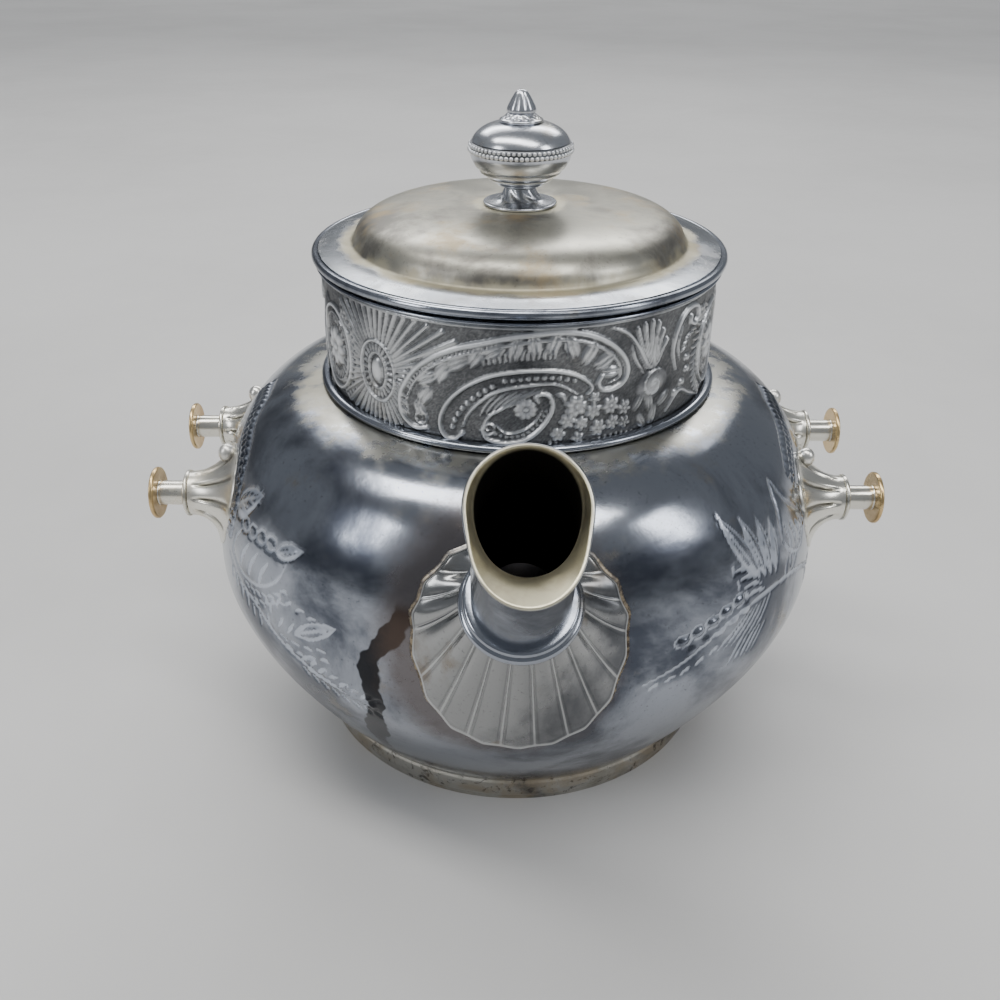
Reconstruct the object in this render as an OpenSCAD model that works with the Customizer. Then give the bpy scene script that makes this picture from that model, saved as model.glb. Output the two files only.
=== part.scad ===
// Silver teapot: tilting pot with embossed neck band, hinged lid and four stand studs.
// Millimetres. Origin at the centre of the foot on the table, +Z up, spout towards -Y,
// handle towards +Y.

/* [Body] */
// Largest radius of the belly
belly_r = 90; // [80:1:100]
// Height of the largest radius above the table
belly_z = 60; // [54:0.5:66]
// Height at which the belly ends and the neck band starts
shoulder_z = 110.6; // [106:0.1:114]
// Sheet thickness of the body
wall = 1.2; // [0.8:0.1:2]

/* [Foot] */
// Radius of the foot ring where it stands on the table
foot_r = 63; // [58:0.5:66]
// Height of the foot ring
foot_h = 9.5; // [8:0.1:11]

/* [Neck band] */
// Outer radius of the embossed neck band
band_r = 54; // [52:0.1:54.5]
// Height of the top edge of the neck band
band_top = 143.2; // [140:0.1:143.2]

/* [Lid] */
// Outer radius of the lid with its edge wire
lid_r = 56.25; // [55.8:0.05:57]
// Height of the flat top of the lid dome
lid_top = 157.6; // [155:0.1:160]
// Largest opening angle of the lid
lid_open = 100; // [0:1:100]

/* [Spout] */
// Rise of the spout axis above the horizontal
spout_rise = 56; // [50:1:60]
// Outer radius of the spout tube at its base
spout_base_r = 11.6; // [11:0.1:12]
// Outer radius of the spout tube at its mouth
spout_tip_r = 10.7; // [10:0.1:11]
// Length of the pouring lip beyond the tube
lip_reach = 7.1; // [4:0.1:9]

/* [Handle] */
// Largest width of the handle
handle_w = 19; // [15:0.5:22]
// Thickness of the handle
handle_t = 9.2; // [8:0.1:11]

/* [Stand studs] */
// Distance of the outer stud faces from the centre plane
stud_x = 104.2; // [102:0.1:107]
// Distance of the stud centres from the plane through spout and handle
stud_y = 21.5; // [18:0.5:24]
// Height of the stud centres above the table
stud_z = 79.4; // [76:0.1:82]
// Radius of the groove that the stand holds
stud_groove_r = 3.5; // [3:0.1:4]

/* [Hidden] */
$fn = 96;
eps = 0.02;
solder = 0.05;

silver = "lightslategray";
warm_silver = "#b9b4a0";
cream = "#d8cfae";
brass = "#b58a4a";
bone = "#e6dcc0";

function along(a, b, t) = a + (b - a)*t;
function bezier(p, t) = pow(1 - t, 3)*p[0] + 3*pow(1 - t, 2)*t*p[1] + 3*(1 - t)*t*t*p[2]
    + t*t*t*p[3];

// Belly outline as [radius, height]: one arc from the foot to the widest place, one to the neck
foot_top_r = 64.6;
shoulder_r = 56;
belly_steps = 15;
low_arc = [[foot_top_r, foot_h], [foot_top_r + 11, foot_h + 14], [belly_r, belly_z - 14],
    [belly_r, belly_z]];
high_arc = [[belly_r, belly_z], [belly_r, belly_z + 24], [belly_r - 10, shoulder_z - 1.6],
    [shoulder_r, shoulder_z]];
belly_line = concat(
    [for (i = [0:belly_steps - 1]) bezier(low_arc, i/belly_steps)],
    [for (i = [0:belly_steps]) bezier(high_arc, i/belly_steps)]);
belly_table = [for (p = belly_line) [p[1], p[0]]];
function belly_at(z) = lookup(z, belly_table);
function belly_points(grow) = [for (p = belly_line) [p[0] + grow, p[1]]];
function backwards(points) = [for (i = [len(points) - 1:-1:0]) points[i]];

// A solid of revolution through a list of [radius, height] points, closed on the axis
module turned(points) {
    rotate_extrude() polygon(concat([[0, points[0][1]]], points, [[0, points[len(points) - 1][1]]]));
}
// The belly as a solid, grown by a soldering gap, for trimming what sits on it
module belly_solid() {
    turned(belly_points(solder));
}
// Faces of a mesh whose rings of side points follow each other
function ring_faces(rings, sides, wrap) = [
    for (k = [0:rings - (wrap ? 1 : 2)]) for (i = [0:sides - 1])
        let (n = (k + 1) % rings, j = (i + 1) % sides)
            each [[k*sides + i, n*sides + j, k*sides + j], [k*sides + i, n*sides + i, n*sides + j]]];
// A closed skin through rings of points that return to the first ring
module skin_loop(rings) {
    polyhedron(
        points = [for (ring = rings) each ring],
        faces = ring_faces(len(rings), len(rings[0]), true));
}

// Frame of the spout: its foot on the belly, its axis and the direction across it
spout_y = -91.5;
spout_z = 93;
tube_start = -16;
tube_end = 38;
spout_wall = 0.9;
module on_spout_axis() {
    translate([0, spout_y, spout_z]) rotate([90 - spout_rise, 0, 0]) children();
}
module body() {
    inner = [for (p = belly_points(-wall*1.3)) [p[0], max(p[1], foot_h + wall)]];
    strainer_pitch = 4.4;
    color(silver) difference() {
        rotate_extrude() polygon(concat(
            [[0, foot_h]], belly_points(0),
            backwards(inner),
            [[0, foot_h + wall]]));
        on_spout_axis() for (row = [-2:2]) for (i = [-2:2]) {
            offset_x = (i + (abs(row) % 2)/2)*strainer_pitch;
            offset_y = row*strainer_pitch*sin(60);
            if (norm([offset_x, offset_y]) < 8.6)
                translate([offset_x, offset_y, -40]) cylinder(r = 1.5, h = 45, $fn = 24);
        }
    }
}
module foot_ring() {
    ring_wall = 1.6;
    color(warm_silver) rotate_extrude() polygon([
        [foot_r - ring_wall, 0], [foot_r, 0], [foot_r, 2], [foot_r + 0.7, 2.6],
        [foot_r + 1.1, 4.6], [foot_r + 1.0, 7.4], [foot_r + 0.4, foot_h],
        [foot_r - 1.2, foot_h], [foot_r - 0.5, 5], [foot_r - 1.0, 2]]);
}
module neck_band() {
    color(silver) rotate_extrude()
        translate([band_r - wall, shoulder_z]) square([wall, band_top - shoulder_z]);
}
// A half-round wire soldered round a wall of the given radius
module half_round_ring(inner_r, bottom_z, height, bulge) {
    rotate_extrude() polygon(concat(
        [[inner_r, bottom_z]],
        [for (a = [-90:15:90]) [
            inner_r + bulge*0.35 + bulge*0.65*cos(a),
            bottom_z + height/2 + height/2*sin(a)]],
        [[inner_r, bottom_z + height]]));
}
bead_h = 2.2;
bead_bulge = 2.2;
module shoulder_bead() {
    color(silver) half_round_ring(band_r + eps, shoulder_z, bead_h, bead_bulge);
}
module rim_bead() {
    color(silver) half_round_ring(band_r - wall, band_top, 1.5, 2.6);
}

module spout_tube() {
    tube_l = tube_end - tube_start;
    color(silver) difference() {
        on_spout_axis() translate([0, 0, tube_start]) difference() {
            cylinder(r1 = spout_base_r, r2 = spout_tip_r, h = tube_l);
            translate([0, 0, -eps])
                cylinder(r1 = spout_base_r - spout_wall, r2 = spout_tip_r - spout_wall,
                    h = tube_l + 2*eps);
        }
        belly_solid();
    }
}
// The lip leaves the tube along its axis and curls outwards, farthest at the front
lip_base = 12.05;
lip_height = 50.2;
lip_drop = 1.7;
lip_sides = 40;
lip_rings = 8;
function front(a) = max(0, cos(a));
function lip_edge(a) = [lip_base + lip_reach*pow(front(a), 3), lip_height - lip_drop*cos(a)];
function lip_turn(a) = cos(a) > 0 ? 25 + 46*pow(cos(a), 2) : 25 + 13.5*cos(a);
function lip_curve(a, inset) =
    let (turn = lip_turn(a), way = [sin(turn), cos(turn)], inward = [-cos(turn), sin(turn)]*inset)
        [[spout_tip_r - inset, tube_end], [spout_tip_r - inset, tube_end + 7],
            lip_edge(a) - 5*way + inward, lip_edge(a) + inward];
function lip_ring(t, inset) = [for (i = [0:lip_sides - 1])
    let (a = 360*i/lip_sides, p = bezier(lip_curve(a, inset), t))
        [p[0]*sin(a), -p[0]*cos(a), p[1]]];
module spout_lip() {
    rings = concat(
        [for (j = [0:lip_rings]) lip_ring(j/lip_rings, 0)],
        [for (j = [lip_rings:-1:0]) lip_ring(j/lip_rings, spout_wall)]);
    color(cream) on_spout_axis() skin_loop(rings);
}
module spout_ring() {
    ring_r = 14.3;
    tube_r = spout_base_r + 0.15;
    color(silver) on_spout_axis() rotate_extrude() polygon([
        [tube_r, -2.4], [ring_r - 1, -2.4], [ring_r - 0.3, -1.9], [ring_r, -1.2],
        [ring_r - 0.3, -0.5], [ring_r - 1, -0.1], [ring_r - 0.8, 0.7], [ring_r - 1.1, 1.5],
        [ring_r - 1.8, 1.8], [tube_r, 1.8]]);
}
// The shell at the foot of the spout: a trumpet that flares from the ring to an egg outline
shell_w = 25.8;
shell_z = 79.5;
shell_up = 22.5;
shell_down = 36.5;
shell_sides = 54;
shell_rings = 8;
shell_sheet = 0.8;
shell_neck_r = 13;
shell_petals = 18;
function shell_scallop(a) = 1 - 0.035*abs(sin(a*shell_petals/2));
function on_belly(x, z, gap) = let (r = belly_at(z) + gap) [x, -sqrt(r*r - x*x), z];
function shell_rim(a, gap) = let (s = shell_scallop(a)) on_belly(
    shell_w*cos(a)*s, shell_z + (sin(a) > 0 ? shell_up : shell_down)*sin(a)*s, gap);
function spout_point(x, across, up) = [
    x,
    spout_y - up*cos(spout_rise) + across*sin(spout_rise),
    spout_z + up*sin(spout_rise) + across*cos(spout_rise)];
function shell_neck(a, r, up) = spout_point(r*cos(a), r*sin(a), up);
function shell_point(a, t, gap, r) = bezier([
    shell_neck(a, r, -2.4),
    shell_neck(a, r + 0.6, -6 + gap),
    along(shell_rim(a, gap + 2.2), shell_neck(a, r + 1.5, -8 + gap), 0.35),
    shell_rim(a, gap)], t);
function shell_ring(t, gap, r) = [for (i = [0:shell_sides - 1])
    shell_point(360*i/shell_sides, t, gap, r)];
module spout_shell() {
    sunk = 0.6;
    rings = concat(
        [for (j = [0:shell_rings]) shell_ring(j/shell_rings, 0.15 + shell_sheet, shell_neck_r)],
        [for (j = [shell_rings:-1:0])
            shell_ring(j/shell_rings, -sunk, shell_neck_r - shell_sheet)]);
    color(warm_silver) difference() {
        skin_loop(rings);
        belly_solid();
    }
}

// Hinge at the back of the lid
hinge_y = 59;
hinge_z = 146.2;
knuckle_r = 2.4;
pin_r = 1;
pin_gap = 0.05;
knuckle_half = 3.9;
leaf_half = 10.2;
side_gap = 0.3;

dome_r = 45.2;
dome_z = 148.7;
sheet = 1;
module lid_shell() {
    // Outline of the dome and flange, from the axis outwards
    top = [[dome_r*0.30, lid_top - 0.1], [dome_r*0.55, lid_top - 0.35], [dome_r*0.72, lid_top - 0.9],
        [dome_r*0.84, lid_top - 1.9], [dome_r*0.92, lid_top - 3.5], [dome_r*0.97, lid_top - 5.7],
        [dome_r, dome_z], [dome_r + 4.8, dome_z - 0.4], [54.3, dome_z - 1.1]];
    under = [for (p = backwards(top)) p[0] < dome_r ? [p[0] - sheet*p[0]/dome_r, p[1] - sheet] :
        [p[0] - (p[0] == dome_r ? sheet : 0), p[1] - sheet]];
    bolt_hole_r = 2.1;
    color(warm_silver) difference() {
        rotate_extrude() difference() {
            polygon(concat([[0, lid_top]], top, under, [[0, lid_top - sheet]]));
            edge_wire_section();
        }
        translate([0, 0, lid_top - 5]) cylinder(r = bolt_hole_r, h = 10);
    }
}
module edge_wire_section() {
    wire_r = 1.15;
    translate([lid_r - wire_r, dome_z - 2.4]) circle(r = wire_r, $fn = 24);
}
module lid_edge_wire() {
    color(silver) rotate_extrude() edge_wire_section();
}
module lid_bezel() {
    bezel_r = band_r - wall - 0.5;
    color(warm_silver) rotate_extrude() polygon([
        [bezel_r - 1, 141], [bezel_r, 141], [bezel_r, dome_z - 2.2], [bezel_r - 1, dome_z - 2.1]]);
}

// Heights of the finial's pieces above the lid top
pedestal_h = 4.4;
bowl_h = 9;
girdle_h = 2.6;
finial_dome_h = 4.8;
finial_cap_h = 2.2;
bud_h = 5.6;
pedestal_z = lid_top;
bowl_z = pedestal_z + pedestal_h;
girdle_z = bowl_z + bowl_h;
finial_dome_z = girdle_z + girdle_h;
finial_cap_z = finial_dome_z + finial_dome_h;
bud_z = finial_cap_z + finial_cap_h;
stud_r = 2;
// A turned finial piece with the stud's hole along its axis
module finial_piece(points, hole_top) {
    difference() {
        turned(points);
        translate([0, 0, points[0][1] - 1]) cylinder(r = stud_r + solder, h = hole_top);
    }
}
module finial_pedestal() {
    foot = 9.9;
    waist = 3.9;
    color(silver) finial_piece(concat(
        [[foot, pedestal_z], [foot, pedestal_z + 0.7]],
        [for (a = [0:15:90]) [
            waist + (foot - 0.8 - waist)*(1 - sin(a)), pedestal_z + pedestal_h - 3.2*cos(a)]]), 20);
}
module finial_bowl() {
    outline = [[4.2, 0], [7.2, 1.2], [13.2, 4.8], [13.4, bowl_h]];
    color(silver) finial_piece([for (i = [0:9]) bezier(outline, i/9) + [0, bowl_z]], 20);
}
module finial_girdle() {
    color(warm_silver) finial_piece([[13.2, girdle_z], [13.8, girdle_z + 0.3],
        [14, girdle_z + 0.8], [13.7, girdle_z + 1.3], [13.9, girdle_z + 1.8],
        [13.5, girdle_z + girdle_h]], 20);
}
module finial_dome() {
    outline = [[13.1, 0], [11.9, 2.8], [8.6, 4.6], [5.2, finial_dome_h]];
    color(silver) finial_piece([for (i = [0:9]) bezier(outline, i/9) + [0, finial_dome_z]],
        finial_dome_h - 1);
}
module finial_cap() {
    color(silver) turned([[5.6, finial_cap_z], [5.75, finial_cap_z + 0.5],
        [4.8, finial_cap_z + 1.1], [3.5, finial_cap_z + finial_cap_h]]);
}
module finial_bud() {
    outline = [[3.9, 0], [3.95, 0.5], [3.5, 1.6], [2.8, 2.9], [2.0, 4.1], [1.3, 5], [0.6, bud_h]];
    color(silver) turned([for (p = outline) p + [0, bud_z]]);
}
washer_h = 1;
nut_h = 3;
dish = 0.05;
nut_z = lid_top - sheet - dish - washer_h - nut_h;
module finial_stud() {
    color(brass) translate([0, 0, nut_z - 1.5])
        cylinder(r = stud_r, h = finial_dome_z + finial_dome_h - 2.5 - nut_z + 1.5);
}
module finial_washer() {
    color(brass) translate([0, 0, nut_z + nut_h]) difference() {
        cylinder(r = 5, h = washer_h - eps);
        translate([0, 0, -1]) cylinder(r = stud_r + 0.1, h = 3);
    }
}
module finial_nut() {
    color(brass) translate([0, 0, nut_z]) difference() {
        cylinder(r = 4, h = nut_h - eps, $fn = 6);
        translate([0, 0, -1]) cylinder(r = stud_r + solder, h = nut_h + 2);
    }
}

// A cylinder along X, centred on the hinge axis
module hinge_bar(r, x0, x1) {
    translate([x0, hinge_y, hinge_z]) rotate([0, 90, 0]) cylinder(r = r, h = x1 - x0, $fn = 48);
}
module hinge_pot_leaf() {
    plate_z = 137;
    plate_top = band_top - 0.4;
    back_y = hinge_y + knuckle_r;
    inner_x = knuckle_half + side_gap;
    knuckle_l = leaf_half - inner_x;
    color(silver) difference() {
        union() {
            translate([-leaf_half, 50, plate_z])
                cube([2*leaf_half, back_y - 50, plate_top - plate_z]);
            for (x = [-leaf_half, inner_x]) {
                hinge_bar(knuckle_r, x, x + knuckle_l);
                translate([x, back_y - 4.2, plate_top - 1])
                    cube([knuckle_l, 4.2, hinge_z - plate_top + 1]);
            }
        }
        translate([0, 0, plate_z - 1]) cylinder(r = band_r + solder, h = 20, $fn = 180);
        hinge_bar(pin_r + pin_gap, -20, 20);
    }
}
module hinge_lid_leaf() {
    plate_z = dome_z + solder;
    plate_h = 1.2;
    front_y = 46.8;
    web_y = hinge_y - 1.8;
    color(silver) difference() {
        union() {
            hinge_bar(knuckle_r, -knuckle_half, knuckle_half);
            translate([-knuckle_half, web_y, hinge_z])
                cube([2*knuckle_half, 3.6, plate_z + plate_h - hinge_z]);
            translate([-knuckle_half - 2.5, front_y, plate_z])
                cube([2*knuckle_half + 5, hinge_y - 0.6 - front_y, plate_h]);
        }
        hinge_bar(pin_r + pin_gap, -20, 20);
    }
}
module hinge_pin() {
    color(brass) union() {
        hinge_bar(pin_r, -leaf_half - 0.5, leaf_half + 0.5);
        hinge_bar(1.8, -leaf_half - 1.2, -leaf_half - 0.3);
        hinge_bar(1.8, leaf_half + 0.3, leaf_half + 1.2);
    }
}

// Centre line of the handle in the plane through spout and handle, as [y, z]
handle_top_half = [[70, 133.5], [86, 146.5], [122, 163], [134, 135]];
handle_low_half = [[134, 135], [143, 114], [122, 73], [97.5, 54]];
function handle_at(t) = t < 0.5 ? bezier(handle_top_half, 2*t) : bezier(handle_low_half, 2*t - 1);
function handle_way(t) = let (a = handle_at(max(0, t - 0.01)), b = handle_at(min(1, t + 0.01)))
    (b - a)/norm(b - a);
socket_r = 5.9;
handle_end_r = 5.6;
tenon_r = 3.6;
tenon_l = 6;
insulator_l = 3.2;
handle_rings = 26;
handle_sides = 24;
function handle_ring(t, inset) =
    let (c = handle_at(t), way = handle_way(t), swell = pow(sin(180*t), 0.7),
        half_w = along(handle_end_r, handle_w/2, swell) - inset,
        half_t = along(handle_end_r, handle_t/2, swell) - inset)
            [for (i = [0:handle_sides - 1]) let (a = 360*i/handle_sides)
                [half_w*cos(a), c[0] + half_t*sin(a)*way[1], c[1] - half_t*sin(a)*way[0]]];
// Places children at an end of the handle, with +Z along the handle and away from the grip
module at_handle_end(end) {
    way = handle_way(end);
    c = handle_at(end);
    turn = end == 0 ? atan2(-way[0], -way[1]) : atan2(way[0], way[1]);
    translate([0, c[0], c[1]]) rotate([-turn, 0, 0]) children();
}
module cross_pin(z, r) {
    translate([-7, 0, z]) rotate([0, 90, 0]) cylinder(r = r, h = 14, $fn = 24);
}
module handle_grip() {
    grip_wall = 1.1;
    rings = concat(
        [for (k = [0:handle_rings]) handle_ring(k/handle_rings, 0)],
        [for (k = [handle_rings:-1:0]) handle_ring(k/handle_rings, grip_wall)]);
    color(silver) skin_loop(rings);
}
// A tapered tube from the insulator to the pot, trimmed where it meets the wall
module handle_socket(end, length, foot_r) {
    at_handle_end(end) translate([0, 0, insulator_l]) difference() {
        union() {
            cylinder(r1 = socket_r, r2 = foot_r, h = length);
            cylinder(r = socket_r + 0.5, h = 1.6);
        }
        translate([0, 0, -eps]) cylinder(r = tenon_r + solder, h = tenon_l + 0.2);
        translate([0, 0, -insulator_l]) cross_pin(insulator_l + 3.2, 0.85);
    }
}
module handle_upper_socket() {
    color(silver) difference() {
        handle_socket(0, 24, 8);
        cylinder(r = band_r + solder, h = 200, $fn = 180);
        cylinder(r = band_r + bead_bulge + solder, h = shoulder_z + bead_h + solder, $fn = 180);
    }
}
module handle_lower_socket() {
    color(silver) difference() {
        handle_socket(1, 24, 8.5);
        belly_solid();
    }
}
module handle_insulator(end) {
    color(bone) at_handle_end(end) difference() {
        union() {
            cylinder(r = socket_r + 0.3, h = insulator_l - eps);
            translate([0, 0, -tenon_l]) cylinder(r = tenon_r, h = 2*tenon_l + insulator_l);
        }
        cross_pin(insulator_l + 3.2, 0.85);
    }
}
module handle_upper_insulator() {
    handle_insulator(0);
}
module handle_lower_insulator() {
    difference() {
        handle_insulator(1);
        belly_solid();
    }
}
module handle_pins() {
    color(silver) for (end = [0, 1]) at_handle_end(end) cross_pin(insulator_l + 3.2, 0.8);
}

// Stand studs: a fluted bracket on the belly, a spool and a brass-edged outer disc
spool_flange_x = 93.6;
disc_h = 1.3;
module at_stud(side, end) {
    translate([0, end*stud_y, stud_z]) rotate([0, side*90, 0]) children();
}
module stud_bracket(side, end) {
    color(cream) difference() {
        at_stud(side, end) translate([0, 0, 70]) turned(concat(
            [[14.5, 0], [14.5, 9]],
            [for (a = [0:15:90]) [6.3 + 8.2*(1 - sin(a)), 9 + 14.5*(1 - cos(a)*0.92)]]));
        belly_solid();
    }
}
module stud_spool(side, end) {
    flange_r = 6.7;
    flange_h = 1.3;
    color(cream) at_stud(side, end) union() {
        translate([0, 0, spool_flange_x]) cylinder(r = flange_r, h = flange_h);
        translate([0, 0, spool_flange_x]) cylinder(r = stud_groove_r, h = stud_x - disc_h
            - spool_flange_x);
    }
}
module stud_disc(side, end) {
    disc_r = 7.45;
    color(brass) at_stud(side, end) translate([0, 0, stud_x - disc_h]) cylinder(r = disc_r, h = disc_h);
}
module bracket_front_left() { stud_bracket(-1, -1); }
module bracket_front_right() { stud_bracket(1, -1); }
module bracket_rear_left() { stud_bracket(-1, 1); }
module bracket_rear_right() { stud_bracket(1, 1); }
module spool_front_left() { stud_spool(-1, -1); }
module spool_front_right() { stud_spool(1, -1); }
module spool_rear_left() { stud_spool(-1, 1); }
module spool_rear_right() { stud_spool(1, 1); }
module disc_front_left() { stud_disc(-1, -1); }
module disc_front_right() { stud_disc(1, -1); }
module disc_rear_left() { stud_disc(-1, 1); }
module disc_rear_right() { stud_disc(1, 1); }

body();
foot_ring();
neck_band();
shoulder_bead();
rim_bead();
spout_tube();
spout_lip();
spout_ring();
spout_shell();
lid_shell();
lid_edge_wire();
lid_bezel();
finial_pedestal();
finial_bowl();
finial_girdle();
finial_dome();
finial_cap();
finial_bud();
finial_stud();
finial_washer();
finial_nut();
hinge_pot_leaf();
hinge_lid_leaf();
hinge_pin();
handle_grip();
handle_upper_socket();
handle_lower_socket();
handle_upper_insulator();
handle_lower_insulator();
handle_pins();
bracket_front_left();
bracket_front_right();
bracket_rear_left();
bracket_rear_right();
spool_front_left();
spool_front_right();
spool_rear_left();
spool_rear_right();
disc_front_left();
disc_front_right();
disc_rear_left();
disc_rear_right();
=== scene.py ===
"""Silver teapot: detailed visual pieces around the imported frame. Lengths in this file are in mm."""
import math

import bpy
import numpy as np
from mathutils import Matrix, Vector


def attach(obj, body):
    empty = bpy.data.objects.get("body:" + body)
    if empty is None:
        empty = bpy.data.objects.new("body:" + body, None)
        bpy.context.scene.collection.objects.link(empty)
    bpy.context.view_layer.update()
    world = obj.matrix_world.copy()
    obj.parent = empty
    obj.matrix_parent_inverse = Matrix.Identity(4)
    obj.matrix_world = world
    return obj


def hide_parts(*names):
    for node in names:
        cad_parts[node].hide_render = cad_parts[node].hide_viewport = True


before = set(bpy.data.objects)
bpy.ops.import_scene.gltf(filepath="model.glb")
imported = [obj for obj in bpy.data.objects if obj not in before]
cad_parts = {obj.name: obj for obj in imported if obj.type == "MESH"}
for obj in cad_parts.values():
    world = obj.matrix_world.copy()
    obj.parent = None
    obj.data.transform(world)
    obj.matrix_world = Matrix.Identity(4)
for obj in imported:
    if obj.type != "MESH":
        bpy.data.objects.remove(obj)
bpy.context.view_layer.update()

MM = 0.001
TAU = 2*math.pi

# ---------------------------------------------------------------- dimensions of the design
BELLY_R, BELLY_Z = 90.0, 60.0
FOOT_TOP_R, FOOT_H = 64.6, 9.5
SHOULDER_R, SHOULDER_Z = 56.0, 110.6
WALL = 1.2
BAND_R = 54.0
BAND_TOP = 143.2
LID_TOP = 157.6
LID_R = 56.25
DOME_Z = 148.7
SPOUT_Y, SPOUT_Z = -91.5, 93.0
SPOUT_RISE = math.radians(56)
TUBE_BASE_R, TUBE_TIP_R = 11.6, 10.7
TUBE_START, TUBE_END = -16.0, 38.0
STUD_Y, STUD_Z = 21.5, 79.4


# ---------------------------------------------------------------- mesh helpers
def new_piece(name, points, faces, material, body, replaced=(), sharp=40):
    """A mesh object from points in mm, which rides on a body and stands for CAD nodes."""
    mesh = bpy.data.meshes.new(name)
    mesh.from_pydata((np.asarray(points, float)*MM).tolist(), [], [list(f) for f in faces])
    mesh.validate()
    mesh.update()
    mesh.shade_smooth()
    mesh.set_sharp_from_angle(angle=math.radians(sharp))
    piece = bpy.data.objects.new(name, mesh)
    bpy.context.scene.collection.objects.link(piece)
    mesh.materials.append(material)
    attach(piece, body)
    if replaced:
        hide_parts(*replaced)
    return piece


def mark(piece, name, values):
    """Stores one number per point, which the material reads."""
    data = piece.data.attributes.new(name, "FLOAT", "POINT")
    data.data.foreach_set("value", np.asarray(values, np.float32).ravel())


def grid_faces(rows, cols, wrap_rows=True):
    """Quads over rings of points stored ring by ring. The last ring meets the first if wrapped."""
    r = np.arange(rows if wrap_rows else rows - 1)[:, None]
    c = np.arange(cols)[None, :]
    r1, c1 = (r + 1) % rows, (c + 1) % cols
    quads = np.stack(np.broadcast_arrays(r*cols + c, r*cols + c1, r1*cols + c1, r1*cols + c), -1)
    return quads.reshape(-1, 4).tolist()


def cap_faces(ring_start, sides, tip, flip):
    """Triangles that close a ring with a point on the axis."""
    faces = []
    for i in range(sides):
        j = (i + 1) % sides
        a, b = (j, i) if flip else (i, j)
        faces.append([tip, ring_start + a, ring_start + b])
    return faces


def merged(parts):
    """Joins (points, faces) pairs into one."""
    points, faces, n = [], [], 0
    for p, f in parts:
        points.append(np.asarray(p, float))
        faces += [[i + n for i in q] for q in f]
        n += len(p)
    return np.concatenate(points), faces


def cos_sin(degrees):
    a = math.radians(degrees)
    return math.cos(a), math.sin(a)


def bezier(p, t):
    """Points of the cubic curve with four control points, at places t from 0 to 1."""
    t = np.asarray(t, float)[..., None]
    p = np.asarray(p, float)
    return (1 - t)**3*p[0] + 3*(1 - t)**2*t*p[1] + 3*(1 - t)*t*t*p[2] + t**3*p[3]


def spline(points, per_span=8):
    """A smooth line through points (Catmull-Rom)."""
    p = np.asarray(points, float)
    p = np.vstack([2*p[0] - p[1], p, 2*p[-1] - p[-2]])
    t = np.linspace(0, 1, per_span, endpoint=False)[:, None]
    out = []
    for a, b, c, d in zip(p, p[1:], p[2:], p[3:]):
        out.append(0.5*(2*b + (c - a)*t + (2*a - 5*b + 4*c - d)*t**2 + (3*b - a - 3*c + d)*t**3))
    out.append(p[-2][None])
    return np.vstack(out)


def turned(radius, height, angle):
    """Points about the pot's axis. Angle 0 is at the spout's side."""
    return np.stack(np.broadcast_arrays(radius*np.sin(angle), -radius*np.cos(angle), height), -1)


def directions(line):
    """The unit direction at each point of a line."""
    way = np.gradient(line, axis=0)
    return way/np.linalg.norm(way, axis=1)[:, None]


def left_of(way):
    """Unit vectors turned a quarter turn anticlockwise."""
    return np.stack([-way[:, 1], way[:, 0]], -1)


def even_steps(line, count):
    """Points spread evenly along a line."""
    step = np.r_[0, np.cumsum(np.linalg.norm(np.diff(line, axis=0), axis=1))]
    at = np.linspace(0, step[-1], count)
    return np.stack([np.interp(at, step, line[:, k]) for k in range(line.shape[1])], -1)


def spaced(points, pitch, fewest):
    """Points about a pitch apart along the smooth line through the given ones."""
    line = spline(points)
    span = np.linalg.norm(np.diff(line, axis=0), axis=1).sum()
    return even_steps(line, max(fewest, int(span/pitch)))


def lathe(profile, sides=192, closed=True):
    """Points and faces of a solid of revolution. A closed profile is a loop of [radius, height];
    an open one starts and ends on the axis."""
    prof = np.asarray(profile, float)
    a = np.arange(sides)/sides*TAU
    if closed:
        return turned(prof[:, :1], prof[:, 1:], a).reshape(-1, 3), grid_faces(len(prof), sides)
    inner = prof[1:-1]
    ring = turned(inner[:, :1], inner[:, 1:], a).reshape(-1, 3)
    points = np.vstack([ring, [0, 0, prof[0, 1]], [0, 0, prof[-1, 1]]])
    n, last = len(ring), (len(inner) - 1)*sides
    faces = grid_faces(len(inner), sides, False)
    faces += cap_faces(0, sides, n, True) + cap_faces(last, sides, n + 1, False)
    return points, faces


def rounded(profile, radius=0.25, steps=3):
    """Rounds the corners of a closed profile."""
    p = np.asarray(profile, float)
    out = []
    for a, b, c in zip(np.roll(p, 1, 0), p, np.roll(p, -1, 0)):
        da, dc = a - b, c - b
        la, lc = np.linalg.norm(da), np.linalg.norm(dc)
        r = min(radius, 0.45*la, 0.45*lc)
        s, e = b + da/la*r, b + dc/lc*r
        for t in np.linspace(0, 1, steps + 1):
            out.append((1 - t)**2*s + 2*(1 - t)*t*b + t*t*e)
    return np.array(out)


def arc(cx, cz, rx, rz, a0, a1, steps):
    """Points of an elliptic arc in a profile, from angle a0 to a1 in degrees."""
    a = np.radians(np.linspace(a0, a1, steps))
    return np.stack([cx + rx*np.cos(a), cz + rz*np.sin(a)], -1)


def ball(centre, radius, sides=10, rings=6, squash=1.0):
    """A small bead."""
    prof = [[radius*math.sin(math.pi*k/rings), -radius*squash*math.cos(math.pi*k/rings)]
            for k in range(rings + 1)]
    points, faces = lathe(prof, sides, closed=False)
    return points + np.asarray(centre, float), faces


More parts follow.
